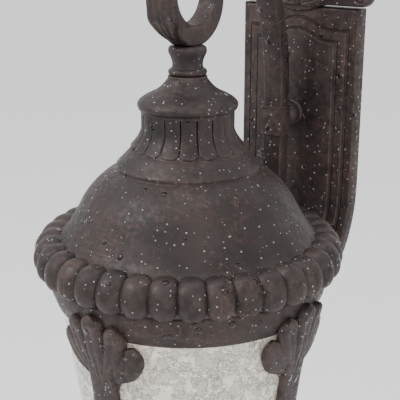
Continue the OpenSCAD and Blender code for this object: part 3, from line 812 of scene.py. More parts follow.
@dataclass
class WallPlate:
    """Cast wall plate with two ogee panels, its crest and its cap nuts. Sizes in mm."""

    finishes: dict[Slot, bpy.types.Material]
    half_width: float = 57.5
    top: float = 135.0
    oval_level: float = -15.0
    oval_height: float = 120.0
    rim: float = 11.0
    rise: float = 3.0
    border: float = 9.4
    wall: float = 3.0

    def place(self, x: float, z: float, out: float) -> Vector:
        """Returns the point at x and z, out mm in front of the wall."""
        return Vector((x * MM, -out * MM, z * MM))

    def outline(self, inset: float, ogee: float, steps: int = 40) -> list[Point]:
        """Draws the plate's outline, or a panel's.

        Args:
            inset: Distance inside the plate's own outline.
            ogee: 0 for the plate's straight top, 1 for a panel's curved one.
            steps: Steps along the top and round the foot.

        Returns:
            The closed outline, with the same number of points for every inset.
        """
        half = self.half_width - inset
        points = []
        for i in range(steps + 1):
            x = half - 2 * half * i / steps
            fall = 9.2 * ease((abs(x) - 3) / 27) * ogee
            points.append((x, self.top - inset - fall))
        for i in range(steps + 1):
            a = math.pi * (1 + i / steps)
            points.append((half * math.cos(a), self.oval_level + (self.oval_height - inset) * math.sin(a)))
        return points

    def front(self) -> Shape:
        """Returns the plate's casting, open at the back."""
        b, t, r = self.border, self.rim, self.rise
        loops = [(-1.0, 0.0, 0.0), (-1.0, t - 4.5, 0.0), (-0.8, t - 2.6, 0.0), (-0.1, t - 1.0, 0.0),
                 (1.0, t - 0.2, 0.0), (2.2, t, 0.0)]
        for n in (1, 2):
            base, edge = t + (n - 1) * r, n * b
            loops += [(edge - 2.2, base, 1.0), (edge - 1.6, base - 0.55, 1.0), (edge - 0.9, base - 0.6, 1.0),
                      (edge - 0.4, base - 0.1, 1.0), (edge - 0.1, base + 1.2, 1.0),
                      (edge + 0.15, base + r - 1.0, 1.0),
                      (edge + 0.8, base + r - 0.2, 1.0), (edge + 1.8, base + r, 1.0)]
        rings = [[self.place(x, z, out) for x, z in self.outline(inset, ogee)] for inset, out, ogee in loops]
        shape = Shape().loft(rings, caps=(False, True))
        inner = [(loops[-1][0] + 1.0, t + 2 * r - self.wall, 1.0),
                 (2 * b + self.wall, t + 2 * r - self.wall, 1.0), (2 * b + self.wall, t + r - self.wall, 1.0),
                 (b + self.wall, t + r - self.wall, 1.0), (b + self.wall, t - self.wall, 1.0),
                 (self.wall, t - self.wall, 0.0), (self.wall, 0.0, 0.0), (-1.0, 0.0, 0.0)]
        back = [[self.place(x, z, out) for x, z in self.outline(inset, ogee)] for inset, out, ogee in inner]
        return shape.merge(Shape().loft(back, caps=(True, False)))

    def crest(self) -> Shape:
        """Returns the crest: a scrolled board with a carved palmette."""
        base, half = self.top, 60.0
        n = 48
        xs = [-half + 2 * half * i / n for i in range(n + 1)]
        low = [(x, base + 2.4 - 6 * (1 - ease((abs(x) - 4) / 24))) for x in xs]
        high = [(x, base + 15 + 21 * (1 - ease(abs(x) / (half - 4)))) for x in reversed(xs)]
        right = [p for p in arc((half, base + 11.4), 9, -100, 110, 16)]
        left = [(-x, z) for x, z in reversed(right)]
        board = slab(low[1:-1] + right + high[1:-1] + left, [], 9.0, 1.8,
                     lambda u, v, w: self.place(u, v, 8.6 + w), 3)

        def on_board(u: float, v: float, out: float) -> Vector:
            """Returns a point of the crest's face, raised by out."""
            return self.place(u, v, 12.4 + out * 0.6)

        for side in (-1, 1):
            spine = [(side * u, base + v) for u, v in bend((3, 3.5), (18, 3.5), (30, 16), (50, 13.5), 14)]
            board.merge(petal(spine, (2.5, 5.0, 5.5, 4.5, 1.5), 5.2, 1.2, on_board))
            spine = [(side * u, base + v) for u, v in bend((2, 6), (12, 10), (20, 24), (36, 23), 12)]
            board.merge(petal(spine, (2.0, 4.5, 4.5, 1.2), 4.8, 1.0, on_board))
            centre = (side * half, base + 11.4)
            curl = [self.place(centre[0]
                               + side * (7.6 - 5.6 * t / 30) * math.cos(math.radians(-150 + 20 * t)),
                               centre[1] + (7.6 - 5.6 * t / 30) * math.sin(math.radians(-150 + 20 * t)),
                               12.6) for t in range(31)]
            board.merge(tube(curl, [(1.7 - 0.6 * t / 30) * MM for t in range(31)], 10))
        for lean, reach, wide in ((0, 33, 4.6), (24, 30, 4.2), (-24, 30, 4.2), (46, 25, 3.8), (-46, 25, 3.8)):
            a = math.radians(lean)
            spine = [(math.sin(a) * reach * t / 12 * (1 + 0.12 * t / 12),
                      base + 2 + math.cos(a) * reach * t / 12) for t in range(13)]
            board.merge(petal(spine, (1.6, wide, wide * 1.1, wide, 0.8), 6.0, 1.6, on_board))
        return board

    def cap_nut(self, x: float) -> Shape:
        """Returns one turned cap nut at x."""
        profile = [(0, 17.0), (6, 17.0), (6.1, 17.6), (5.6, 18.6), (4.2, 19.4), (4.2, 20.0)] + [
            (5.4 * math.cos(math.radians(a)), 20.0 + 5.4 * math.sin(math.radians(a)))
            for a in range(20, 91, 10)]
        rings = [[Vector((x * MM + r * MM * math.cos(a), -out * MM, -65 * MM + r * MM * math.sin(a)))
                  for a in (2 * math.pi * k / 32 for k in range(32))] for r, out in profile]
        return Shape().loft(rings)

    def build(self) -> list[bpy.types.Object]:
        """Builds the plate's pieces and returns them."""
        bronze = self.finishes[Slot.BRONZE]
        nuts = self.cap_nut(-20.0).merge(self.cap_nut(20.0))
        return [
            make_piece("wall_plate_casting", self.front(), Slot.BRONZE, bronze, stands_for=["wall_plate"]),
            make_piece("crest_carving", self.crest(), Slot.BRONZE, bronze, stands_for=["crest"]),
            make_piece("cap_nuts_turned", nuts, Slot.BRONZE, bronze, stands_for=["cap_nuts"]),
        ]


@dataclass
class Arm:
    """Turned post, stem with its collar, crook with the hanging ring, and the leaf on it. Sizes in mm."""

    finishes: dict[Slot, bpy.types.Material]
    layout: Layout
    width: float = 18.0
    thick: float = 13.0
    stem_out: float = 121.5
    bend_level: float = 110.0
    bend_radius: float = 190.0
    seam: float = 17.8
    lean: float = 22.0
    lean_run: float = 68.0
    ring_radius: float = 33.4
    ring_level: float = 191.0
    eye_radius: float = 23.0
    leaf: float = 2.4

    def __post_init__(self) -> None:
        """Works out the centres of the arm's bends."""
        self.bend_centre = (self.stem_out - self.bend_radius, self.bend_level)
        a = math.radians(self.lean)
        end = (self.bend_centre[0] + self.bend_radius * math.cos(a) - self.lean_run * math.sin(a),
               self.bend_centre[1] + self.bend_radius * math.sin(a) + self.lean_run * math.cos(a))
        self.ring_mid = self.ring_radius - self.thick / 2
        self.crook_radius = (end[0] + self.ring_mid) / (1 + math.cos(a))
        self.crook_centre = (end[0] - self.crook_radius * math.cos(a),
                             end[1] - self.crook_radius * math.sin(a))

    def across(self, u: float, v: float, w: float) -> Vector:
        """Places a point of the arm's outline: u out, v up, w across."""
        return self.layout.in_arm(u, v, w)

    def stem(self) -> Shape:
        """Returns the stem, with a rounded foot and a small break at its seam."""
        h = self.thick / 2
        foot = 26.0
        outline = (arc(self.bend_centre, self.bend_radius + h, 0, self.seam, 12)
                   + arc(self.bend_centre, self.bend_radius - h, self.seam, 0, 12)
                   + arc((self.stem_out, foot), h, 180, 360, 14))
        return slab(outline, [], self.width, 1.3, self.across)

    def collar(self) -> Shape:
        """Returns the collar that closes round the stem, with a thin ring line at each end."""
        h = self.thick / 2
        shape = Shape()
        for low, high, out in ((69.0, 71.0, 1.5), (71.0, 92.2, 0.8), (92.2, 94.2, 1.5)):
            outline = [(self.stem_out - h - out, low), (self.stem_out + h + 0.4 * out, low),
                       (self.stem_out + h + 0.4 * out, high), (self.stem_out - h - out, high)]
            shape.merge(slab(outline, [], self.width + 2 * out, 0.5, self.across, 2))
        return shape

    def crook(self) -> Shape:
        """Returns the crook and ring as one bar with its edges rounded."""
        h = self.thick / 2

        def side(d: float) -> list[Point]:
            """Lists the bar's edge at a distance from its middle line."""
            return (arc(self.bend_centre, self.bend_radius + d, self.seam, self.lean, 4)
                    + arc(self.crook_centre, self.crook_radius + d, self.lean, 180, 56))

        end = math.degrees(math.acos(-(self.ring_mid - h) / self.ring_radius))
        bare = self.ring_radius - self.leaf
        ring = []
        for i in range(81):
            a = 180 + (180 + end) * i / 80
            radius = bare + self.leaf * ease((a - 236) / 26)
            ring.append((radius * math.cos(math.radians(a)),
                         self.ring_level + radius * math.sin(math.radians(a))))
        outline = side(h) + [(-self.ring_mid - h + self.leaf, self.ring_level + 24)] + ring + side(-h)[::-1]
        eye = arc((2.0, self.ring_level + 5.0), self.eye_radius, 0, 357, 70)
        return slab(outline, [eye], self.width, 1.8, self.across, 4)

    def leaf_strip(self) -> Shape:
        """Returns the long carved leaf on the front of the crook and ring."""
        down = arc(self.crook_centre, self.crook_radius + self.thick / 2, 128, 180, 20)
        under = arc((0.0, self.ring_level), self.ring_radius, 182, 261, 34)
        path = list(zip(down, [128 + 52 * i / 20 for i in range(21)]))
        path += zip(under, [182 + 79 * i / 34 for i in range(35)])
        rings = []
        for i, (p, angle) in enumerate(path):
            t = i / (len(path) - 1)
            half = 13.6 * ease(t * 3.4) * (0.06 + 0.94 * ease((1 - t) * 2.2))
            normal = (math.cos(math.radians(angle)), math.sin(math.radians(angle)))
            ring = []
            for j in range(17):
                s = -1 + j / 8
                lobe = 1 + 0.05 * math.sin(26 * t) * abs(s)
                roll = (1 - abs(s) ** 4) ** 0.5
                carve = 1.3 * math.exp(-(((abs(s) - 0.42) / 0.12) ** 2)) + 0.8 * math.exp(-((s / 0.07) ** 2))
                out = -self.leaf - 0.6 + (self.leaf + 0.6) * roll - carve * ease(6 * (1 - t)) * roll
                ring.append(self.layout.in_arm(p[0] + normal[0] * out, p[1] + normal[1] * out,
                                               half * lobe * s))
            for s in (0.9, 0.0, -0.9):
                out = -self.leaf - 1.4
                ring.append(self.layout.in_arm(p[0] + normal[0] * out, p[1] + normal[1] * out, half * s))
            rings.append(ring)
        return Shape().loft(rings, caps=(True, True))

    def post(self) -> Shape:
        """Returns the turned post that stands the stem off the plate."""
        profile = [(5.2, 17.0), (10.4, 17.0), (10.6, 17.8), (9.8, 18.8), (8.2, 19.4), (7.6, 20.2)]
        profile += oval((0.0, 27.0), 11.9, 9.4, range(-48, 49, 8))
        profile += [(7.6, 34.0), (8.6, 34.8), (9.0, 36.0), (8.8, 37.0), (5.2, 37.0)]
        rings = [[Vector((r * MM * math.cos(a), -out * MM, 44 * MM + r * MM * math.sin(a)))
                  for a in (2 * math.pi * k / 64 for k in range(64))]
                 for r, out in profile + profile[:1]]
        return Shape().loft(rings)

    def build(self) -> list[bpy.types.Object]:
        """Builds the arm's pieces and returns them."""
        bronze = self.finishes[Slot.BRONZE]
        made = []
        for name, shape, node in (("arm_post_turned", self.post(), "arm_post"),
                                  ("arm_stem_bar", self.stem(), "arm_stem"),
                                  ("arm_collar_band", self.collar(), "arm_collar"),
                                  ("arm_crook_bar", self.crook(), "arm_crook"),
                                  ("arm_leaf_carving", self.leaf_strip(), "arm_leaf")):
            made.append(make_piece(name, shape, Slot.BRONZE, bronze, stands_for=[node]))
        return made


@dataclass
class LanternHead:
    """Everything above the glass: seat, bell cap, panelled neck, roof, beads and skirt. Sizes in mm."""

    finishes: dict[Slot, bpy.types.Material]
    layout: Layout
    rim: float = 120.6
    neck: float = 35.2
    panels: int = 18
    beads: int = 36

    def seat(self) -> Shape:
        """Returns the turned seat with its cup, neck and bead."""
        profile = [(5.2, 134.0), (14.9, 134.0), (15.0, 134.8), (14.4, 136.2)]
        profile += oval((11.6, 138.9), 3.0, 2.7, range(-70, 71, 14))
        profile += bend((12.0, 141.6), (11.0, 143.8), (11.4, 146.5), (12.6, 149.5), 8)
        profile += bend((12.9, 150.2), (13.8, 152.2), (14.8, 153.6), (14.4, 155.6), 8)
        profile += [(13.8, 157.2), (12.4, 158.2), (5.2, 158.2)]
        return self.layout.turned(profile, 96)

    def bell(self) -> Shape:
        """Returns the bell cap with its rolled rim."""
        profile = ([(5.2, 134.0)] + bend((14.9, 134.0), (17.5, 131.0), (19.8, 126.5), (27.5, 123.2), 10)
                   + bend((28.6, 122.7), (33.0, 120.6), (36.6, 118.6), (38.0, 115.8), 7))
        profile += (bend((38.1, 114.6), (38.0, 112.2), (37.2, 111.2), (35.6, 110.6), 6)
                    + [(35.2, 108.6), (30.0, 108.4), (28.0, 112.0), (20.0, 120.0), (5.2, 127.0)])
        return self.layout.turned(profile, 144)

    def neck_at(self, z: float) -> float:
        """Returns the neck's radius over its panels at a level."""
        return self.neck + 10.6 * max(0.0, (98 - z) / 17.5) ** 1.7

    def neck_panels(self) -> Shape:
        """Returns the neck with its round-footed raised panels."""
        around, up = self.panels * 36, 44
        rings = []
        for i in range(up + 1):
            z = 79.0 + (110.0 - 79.0) * i / up
            ring = []
            for k in range(around):
                turn = k / around * self.panels
                s = abs((turn + 0.5) % 1.0 - 0.5) / 0.5
                edge = (0.985 - s) / 0.12
                foot = 81.2 + 3.0 * max(0.0, s) ** 4
                pad = ease(edge) * ease((z - foot) / 1.0)
                crown = 0.55 * (1 - min(1.0, s) ** 2)
                radius = self.neck_at(max(z, 80.5)) - 1.5 + (1.3 + crown) * pad
                ring.append(self.layout.about_axis(radius, 2 * math.pi * k / around, z))
            rings.append(ring)
        inner = [[self.layout.about_axis(self.neck_at(max(z, 80.5)) - 5, 2 * math.pi * k / around, z)
                  for k in range(around)] for z in (110.0, 95.0, 79.0)]
        return Shape().loft(rings + inner + [rings[0]])

    def roof_line(self) -> list[Point]:
        """Returns the roof's outside from the neck's foot to its edge."""
        foot, edge = self.neck + 9.6, self.rim - 15
        reach = self.rim - 9.1 - foot

        def share(t: float) -> float:
            """Returns the radius at a share of the way out from the neck's foot."""
            return foot + t * reach

        ledge = foot + 10
        top = bend((foot - 1.5, 80.6), (foot + 1.6, 78.6), (ledge - 4.4, 73.4), (ledge - 0.8, 70.2), 10)
        lip = [(ledge - 0.2, 69.5), (ledge + 0.2, 68.8), (ledge + 0.2, 67.9), (ledge - 0.1, 66.9),
               (ledge + 0.1, 66.2), (ledge + 0.9, 65.6)]
        shoulder = bend((ledge + 2.0, 65.2), (share(0.31), 60.6), (share(0.46), 52.3), (share(0.565), 40), 26)
        cove = bend((share(0.565), 40), (share(0.61), 34.2), (edge - 15.6, 26.0), (edge - 12.0, 20.4), 22)
        valley = bend((edge - 12.0, 20.4), (edge - 8.6, 15.2), (edge - 4.5, 12.4), (edge, 12.0), 14)
        return top + lip + shoulder + cove[1:] + valley[1:]

    def roof(self) -> Shape:
        """Returns the roof casting."""
        outside = self.roof_line()
        edge = self.rim - 15
        inside = [(r - 4.0, z - 3.0) for r, z in reversed(outside) if z > 21.5]
        return self.layout.turned(outside + [(edge, 9.5), (edge - 9, 10.0)] + inside
                                  + [(5.2, 77.5), (5.2, 80.5)], 192)

    def bead_ring(self) -> Shape:
        """Returns the bead ring: egg-shaped beads that crowd one another on a turned core."""
        shape = self.layout.turned([(100.5, -12.0), (110.0, -12.0), (113.6, -6.0), (114.0, 0.0), (111.6, 6.5),
                                    (107.4, 10.4), (100.5, 10.6)], 180)
        half, high, deep, centre = 12.0, 14.6, 13.8, self.rim - 13.8
        for i in range(self.beads):
            turn = 2 * math.pi * i / self.beads
            rings = []
            for p in range(19):
                lat = math.pi * (-0.5 + p / 18)
                level_z = 1.4 + high * math.sin(lat)
                fat = max(0.0, math.cos(lat)) ** 0.66 * (1.0 + 0.05 * math.sin(lat))
                ring = []
                for q in range(24):
                    lon = 2 * math.pi * q / 24
                    side = half * fat * math.sin(lon)
                    bulge = math.copysign(abs(math.cos(lon)) ** 0.66, math.cos(lon))
                    out = deep * max(0.0, math.cos(lat)) ** 0.8 * bulge - 2.2 * math.sin(lat)
                    ring.append(self.layout.about_axis(centre + out, turn + side / (centre + max(0.0, out)),
                                                       level_z))
                rings.append(ring)
            shape.merge(Shape().loft(rings))
        return shape

    def skirt(self) -> Shape:
        """Returns the skirt under the beads, with its rolled lower edge."""
        profile = [(107.1, -12.0), (109.1, -13.8), (109.4, -17.0), (109.0, -21.0)]
        profile += bend((108.8, -22.5), (108.4, -27), (106.0, -31.5), (105.2, -33.6), 7)
        profile += [(104.9, -35.2), (104.3, -36.5), (103.4, -37.0), (102.1, -37.0), (102.1, -31.0),
                    (98.0, -31.0), (98.0, -29.0), (105.1, -25.0), (105.1, -12.0)]
        return self.layout.turned(profile, 192)

    def build(self) -> list[bpy.types.Object]:
        """Builds the head's pieces and returns them."""
        bronze = self.finishes[Slot.BRONZE]
        made = []
        for name, shape, node in (("ring_seat_turned", self.seat(), "ring_seat"),
                                  ("bell_cap_rolled", self.bell(), "bell_cap"),
                                  ("neck_panels", self.neck_panels(), "fluted_neck"),
                                  ("roof_casting", self.roof(), "roof_dome"),
                                  ("bead_ring_eggs", self.bead_ring(), "bead_rim"),
                                  ("skirt_rolled", self.skirt(), "skirt_ring")):
            made.append(make_piece(name, shape, Slot.BRONZE, bronze, stands_for=[node], crease=50.0))
        return made


@dataclass
class Cage:
    """Strap ribs with their leaves, base ring, bowl and finial. Sizes in mm."""

    finishes: dict[Slot, bpy.types.Material]
    layout: Layout
    strap: float = 24.0
    strap_thick: float = 5.0
    glass_top: float = -33.0
    glass_radius: float = 101.8
    taper: float = 0.135
    ring_height: float = 12.0

    def glass_at(self, z: float) -> float:
        """Returns the glass's outer radius at a level."""
        return self.glass_radius - self.taper * (self.glass_top - z)

    def rib_back(self, z: float) -> float:
        """Returns the radius of a rib's back face at a level."""
        foot = self.layout.glass_foot
        return level([(foot, self.glass_at(foot + self.ring_height) + 1.2),
                      (foot + self.ring_height, self.glass_at(foot + self.ring_height) + 1.2),
                      (-78.0, self.glass_at(-78.0) + 1.2), (-50.0, 102.8), (-38.0, 104.8), (-24.0, 109.1),
                      (0.0, 109.1)], z)

    def rib(self, turn: float) -> Shape:
        """Models one strap and its carved leaf.

        Args:
            turn: Angle from the front towards the right, in radians.

        Returns:
            The rib.
        """

        def wrap(u: float, v: float, out: float) -> Vector:
            """Places a point of the rib's back, raised by out."""
            radius = self.rib_back(v) + out
            return self.layout.about_axis(radius, turn + u / max(60.0, self.rib_back(v)), v)

        foot = self.layout.glass_foot
        rings = []
        for z in [foot, foot + 6, foot + 12, foot + 40, foot + 70, foot + 100, -100.0, -84.0, -74.0, -66.0,
                  -58.0]:
            half = self.strap / 2
            section = [(-half, 0.0), (-half, self.strap_thick - 1.6), (-half + 0.5, self.strap_thick - 0.6),
                       (-half + 1.6, self.strap_thick - 0.05)]
            section += [(half * s, self.strap_thick) for s in (-0.6, -0.25, 0.25, 0.6)]
            section += [(half - 1.6, self.strap_thick - 0.05), (half - 0.5, self.strap_thick - 0.6),
                        (half, self.strap_thick - 1.6), (half, 0.0)]
            rings.append([wrap(u, z, out) for u, out in section])
        shape = Shape().loft(rings, caps=(True, True))
        along = [i / 32 for i in range(33)]
        blade = [(0.42 + 0.58 * ease(u / 0.6)) * math.sqrt(max(0.01, 1 - max(0.0, (u - 0.80) / 0.2) ** 2))
                 for u in along]
        lobes = (
            (bend((7.0, -74), (14.0, -66), (27.0, -62), (31.5, -39.5), 20), 9.8, 5.0, 0.7),
            (bend((5.0, -74), (9.0, -58), (17.5, -46), (18.5, -24.5), 20), 9.6, 6.0, 0.8),
        )
        palm = [(0.0, -86 + 50.0 * t / 14) for t in range(15)]
        shape.merge(petal(palm, (10.5, 12.5, 15.5, 21.5, 27.0, 28.0, 23.0, 14.0, 2.0), 3.4, 0.0, wrap, 16))
        for spine, wide, crown, vein in lobes:
            for side in (-1, 1):
                shape.merge(petal([(side * u, v) for u, v in spine], [wide * b for b in blade], crown, vein,
                                  wrap, 14))
        shape.merge(petal([(0.0, -80 + 61.5 * t / 20) for t in range(21)], [10.4 * b for b in blade], 6.8,
                          0.9, wrap, 14))
        return shape

    def base(self) -> Shape:
        """Returns the base ring with its moulded band."""
        foot = self.layout.glass_foot
        inner = self.glass_at(foot + self.ring_height) + 1.2
        out = inner + self.strap_thick
        r = out + 2.6
        profile = [(self.glass_at(foot) - 12, foot - 5), (r + 0.4, foot - 5), (r + 1.0, foot - 4.4),
                   (r + 1.0, foot - 3.4), (r + 0.3, foot - 2.6), (r - 0.5, foot - 1.6)]
        profile += [(r - 0.6, foot + 8.4), (r, foot + 9.2), (r + 0.1, foot + 10.6), (r - 0.5, foot + 11.8),
                    (r - 1.4, foot + 12.0), (out, foot + 12.0), (out, foot)]
        profile += [(self.glass_at(foot) - 12, foot)]
        return self.layout.turned(profile, 160)

    def bowl(self) -> Shape:
        """Returns the bowl under the base ring, with two turned lines."""
        foot, low = self.layout.glass_foot, self.layout.bowl_foot
        top = foot - 5
        depth = top - low
        rim = self.glass_at(foot + self.ring_height) + 1.2 + self.strap_thick + 2.6 - 3
        outside = []
        for i in range(31):
            a = math.pi / 2 * i / 30
            line = 0.9 * math.exp(-(((i - 7) / 1.0) ** 2)) + 0.7 * math.exp(-(((i - 22) / 1.0) ** 2))
            outside.append((14 + (rim - 14) * math.cos(a) - line, top - depth * math.sin(a)))
        inside = [(14 + (rim - 17) * math.cos(a), top - (depth - 3) * math.sin(a))
                  for a in (math.pi / 2 * i / 12 for i in range(12, -1, -1))]
        return self.layout.turned(outside + [(3.2, low), (3.2, low + 3)] + inside, 144)

    def finial(self) -> Shape:
        """Returns the turned finial."""
        top = self.layout.bowl_foot - 0.3
        low = self.layout.finial_foot
        profile = [(3.2, top), (12.4, top), (13.0, top - 0.6), (12.8, top - 2.0), (11.4, top - 3.2),
                   (8.6, top - 4.4), (7.4, top - 6.0), (7.6, top - 7.6)]
        profile += oval((0.0, top - 16.5), 10.0, 9.6, range(44, -61, -8))
        profile += [(4.4, top - 26.2), (4.2, top - 27.4), (2.6, low + 0.8), (0.0, low), (0.0, low + 13),
                    (3.2, low + 13)]
        return self.layout.turned(profile, 72)

    def build(self) -> list[bpy.types.Object]:
        """Builds the cage's pieces and returns them."""
        bronze = self.finishes[Slot.BRONZE]
        made = []
        for number, (name, node) in enumerate((("rib_front_leaf", "rib_front"),
                                               ("rib_right_leaf", "rib_right"), ("rib_rear_leaf", "rib_rear"),
                                               ("rib_left_leaf", "rib_left"))):
            made.append(make_piece(name, self.rib(math.pi / 2 * number), Slot.BRONZE, bronze,
                                   stands_for=[node]))
        made.append(make_piece("base_ring_moulded", self.base(), Slot.BRONZE, bronze,
                               stands_for=["base_ring"]))
        made.append(make_piece("base_bowl_turned", self.bowl(), Slot.BRONZE, bronze,
                               stands_for=["base_bowl"]))
        made.append(make_piece("bottom_finial_turned", self.finial(), Slot.BRONZE, bronze,
                               body="bottom_finial", stands_for=["bottom_finial"]))
        return made


@dataclass
class GlassAndLamps:
    """The rippled glass, the candle sleeves and the bulbs. Sizes in mm."""

    finishes: dict[Slot, bpy.types.Material]
    layout: Layout
    glass_top: float = -33.0
    glass_radius: float = 101.8
    taper: float = 0.135
    glass_thick: float = 3.0
    circle: float = 30.0
    sleeve: float = 10.5
    sleeve_height: float = 62.0
    bulb_height: float = 68.0

    def glass(self) -> Shape:
        """Returns the glass, with shallow waves on its outer face."""
        foot, around, up = self.layout.glass_foot, 240, 90
        rings = []
        for i in range(up + 1):
            z = foot + (self.glass_top - foot) * i / up
            ring = []
            for k in range(around):
                a = 2 * math.pi * k / around
                swirl = math.sin(0.33 * z + 3 * math.sin(4 * a))
                wave = 0.22 * math.sin(9 * a + 0.21 * z) * swirl + 0.14 * math.sin(31 * a + 0.4 * z)
                radius = self.glass_radius - self.taper * (self.glass_top - z)
                ring.append(self.layout.about_axis(radius - 0.36 + wave, a, z))
            rings.append(ring)
        inner = []
        for z in (self.glass_top, foot):
            radius = self.glass_radius - self.taper * (self.glass_top - z) - self.glass_thick
            inner.append([self.layout.about_axis(radius, 2 * math.pi * k / around, z) for k in range(around)])
        return Shape().loft(rings + inner + [rings[0]])

    def stand(self, number: int) -> tuple[float, float]:
        """Returns the place of a lamp's axis across and along the room, in metres."""
        a = math.radians(-90 + 120 * number)
        return self.circle * MM * math.cos(a), self.layout.axis_y + self.circle * MM * math.sin(a)

    def round_about(self, number: int, profile: Sequence[Point], segments: int = 40) -> Shape:
        """Turns a profile about a lamp's own axis.

        Args:
            number: The lamp's number, from 0.
            profile: Points (radius, level) in mm.
            segments: Steps round the lamp.

        Returns:
            The turned shape.
        """
        x, y = self.stand(number)
        rings = [[Vector((x + r * MM * math.cos(a), y + r * MM * math.sin(a), self.layout.rim_z + z * MM))
                  for a in (2 * math.pi * k / segments for k in range(segments))]
                 for r, z in profile]
        return Shape().loft(rings)

    def sleeves(self) -> Shape:
        """Returns the candle sleeves with run wax at their tops."""
        base = self.layout.glass_foot + 60
        shape = Shape()
        for number in range(3):
            x, y = self.stand(number)
            rings = []
            for step in range(15):
                z = base + self.sleeve_height * step / 14
                ring = []
                for k in range(40):
                    a = 2 * math.pi * k / 40
                    run = max(0.0, math.sin(3 * a + number) * math.sin(5 * a + 1.3)) ** 2
                    drip = 0.9 * run * ease((z - base - 22 - 12 * math.sin(7 * a)) / 9)
                    r = (self.sleeve - 0.9 + drip) * MM
                    ring.append(Vector((x + r * math.cos(a), y + r * math.sin(a),
                                        self.layout.rim_z + z * MM)))
                rings.append(ring)
            for r, z in ((9.0, base + self.sleeve_height), (9.0, base)):
                rings.append([Vector((x + r * MM * math.cos(2 * math.pi * k / 40),
                                      y + r * MM * math.sin(2 * math.pi * k / 40),
                                      self.layout.rim_z + z * MM)) for k in range(40)])
            shape.merge(Shape().loft(rings + [rings[0]]))
        return shape

    def bulb(self, number: int) -> Shape:
        """Returns a flame-shaped bulb with its screw shell."""
        base = self.layout.glass_foot + 84
        neck = self.layout.glass_foot + 60 + self.sleeve_height + 0.3
        profile = [(0.0, base), (3.8, base), (5.4, base + 2.4)]
        turns = 9
        for i in range(turns * 4):
            z = base + 3 + (neck - base - 4) * i / (turns * 4)
            profile.append((5.7 + 0.28 * math.sin(math.pi * i / 2), z))
        profile += [(5.9, neck), (6.9, neck + 0.3)]
        profile += bend((7.2, neck + 0.8), (18.5, neck + 14), (21.0, neck + 33), (11.5, neck + 50), 18)
        profile += bend((11.0, neck + 50.8), (7.0, neck + 57), (2.4, neck + 62),
                        (0.0, neck + self.bulb_height), 10)
        return self.round_about(number, profile)

    def build(self) -> list[bpy.types.Object]:
        """Builds the glass and the lamps and returns them."""
        made = [
            make_piece("glass_rippled", self.glass(), Slot.GLASS, self.finishes[Slot.GLASS],
                       stands_for=["glass_shade"]),
            make_piece("candle_sleeves_waxed", self.sleeves(), Slot.IVORY, self.finishes[Slot.IVORY],
                       stands_for=["candle_sleeves"], crease=60.0),
        ]
        for number in range(3):
            name = f"bulb_{number + 1}"
            made.append(make_piece(f"{name}_blown", self.bulb(number), Slot.BULB, self.finishes[Slot.BULB],
                                   body=name, stands_for=[name], crease=60.0))
        return made


@dataclass
class FrameNodes:
    """Nodes of the frame that stay as they are and only take a finish."""

    finishes: dict[Slot, bpy.types.Material]

    def build(self, replaced: set[str]) -> list[bpy.types.Object]:
        """Dresses every node that no piece stands for.

        Args:
            replaced: Names of the nodes that pieces stand for.

        Returns:
            The dressed nodes.
        """
        slots = {part["node"]: Slot(part["material_slot"]) for part in frame["record"]["subparts"]}
        dressed = []
        for name, node in frame["nodes"].items():
            if name in replaced:
                continue
            for material_slot in node.material_slots:
                material_slot.material = self.finishes[slots[name]]
            dressed.append(node)
        return dressed


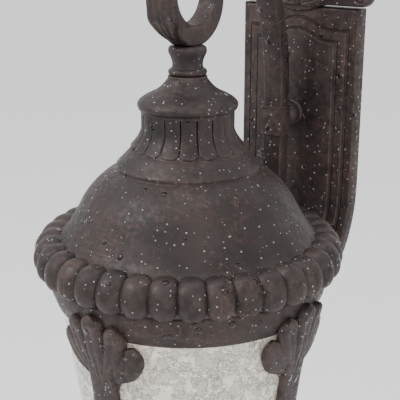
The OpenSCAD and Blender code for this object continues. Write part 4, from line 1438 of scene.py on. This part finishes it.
@dataclass
class Studio:
    """A pale floor, soft lights and the camera. Sizes in metres."""

    camera_at: tuple[float, float, float] = (0.4183, -0.6854, 0.2088)
    camera_turn: tuple[float, float, float] = (72.51, 0.0, 38.0)
    lens: float = 81.0
    aim: tuple[float, float, float] = (0.0, -0.16, 0.0)

    def floor(self) -> bpy.types.Object:
        """Builds the pale floor under the lantern and returns it."""
        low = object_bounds()[0].z - 0.35
        mesh = bpy.data.meshes.new("floor")
        mesh.from_pydata([(-40, -40, low), (40, -40, low), (40, 40, low), (-40, 40, low)], [], [(0, 1, 2, 3)])
        material, graph, shader = new_finish("pale_floor")
        graph.tree.links.new(graph.blend(graph.noise(0.6, 2.0), (0.925, 0.925, 0.93), (0.94, 0.935, 0.925)),
                             shader.inputs["Base Color"])
        shader.inputs["Roughness"].default_value = 0.9
        shader.inputs["Specular IOR Level"].default_value = 0.1
        mesh.materials.append(material)
        floor = bpy.data.objects.new("floor", mesh)
        bpy.context.scene.collection.objects.link(floor)
        floor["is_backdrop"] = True
        return floor

    def light(self, name: str, place: tuple[float, float, float], size: float, power: float,
              tint: Rgb = (1.0, 1.0, 1.0)) -> None:
        """Adds a soft square light that faces the lantern.

        Args:
            name: The light's name.
            place: Where it stands.
            size: Its width.
            power: Its power in watts.
            tint: Its colour.
        """
        data = bpy.data.lights.new(name, "AREA")
        data.energy, data.size, data.color = power, size, tint
        lamp = bpy.data.objects.new(name, data)
        lamp.location = place
        lamp.rotation_euler = (Vector(self.aim) - Vector(place)).to_track_quat("-Z", "Y").to_euler()
        bpy.context.scene.collection.objects.link(lamp)

    def build(self) -> None:
        """Builds the floor, lights, sky and camera."""
        self.floor()
        self.light("key", (-0.75, -1.3, 1.35), 0.7, 24.0)
        self.light("fill", (1.7, -1.0, 0.5), 1.1, 9.0, (1.0, 0.95, 0.88))
        self.light("top", (0.1, -0.1, 1.7), 0.8, 8.0)
        world = bpy.data.worlds.new("sky")
        world.use_nodes = True
        back = world.node_tree.nodes["Background"]
        back.inputs["Color"].default_value = (0.83, 0.84, 0.86, 1.0)
        back.inputs["Strength"].default_value = 1.5
        bpy.context.scene.world = world
        data = bpy.data.cameras.new("camera")
        data.lens = self.lens
        data.sensor_width = 36.0
        data.clip_start = 0.01
        camera = bpy.data.objects.new("camera", data)
        camera.location = self.camera_at
        camera.rotation_euler = Euler([math.radians(a) for a in self.camera_turn])
        bpy.context.scene.collection.objects.link(camera)
        bpy.context.scene.camera = camera


def main() -> None:
    """Builds the lantern's looks in order and reports each piece."""
    logging.basicConfig(level=logging.INFO, format="%(name)s: %(message)s")
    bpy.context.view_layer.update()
    layout = Layout.read()
    finishes = build_finishes(Effects().build())
    for part in (WallPlate(finishes), Arm(finishes, layout), LanternHead(finishes, layout),
                 Cage(finishes, layout), GlassAndLamps(finishes, layout)):
        for piece in part.build():
            LOG.info("%s: %d faces", piece.name, len(piece.data.polygons))
    replaced = {"wall_plate", "crest", "cap_nuts", "arm_post", "arm_stem", "arm_collar", "arm_crook",
                "arm_leaf", "ring_seat", "bell_cap", "fluted_neck", "roof_dome", "bead_rim", "skirt_ring",
                "rib_front", "rib_right", "rib_rear", "rib_left", "base_ring", "base_bowl",
                "bottom_finial", "glass_shade", "candle_sleeves", "bulb_1", "bulb_2", "bulb_3"}
    for node in FrameNodes(finishes).build(replaced):
        LOG.info("%s: dressed", node.name)
    Studio().build()


if __name__ == "__main__":
    main()
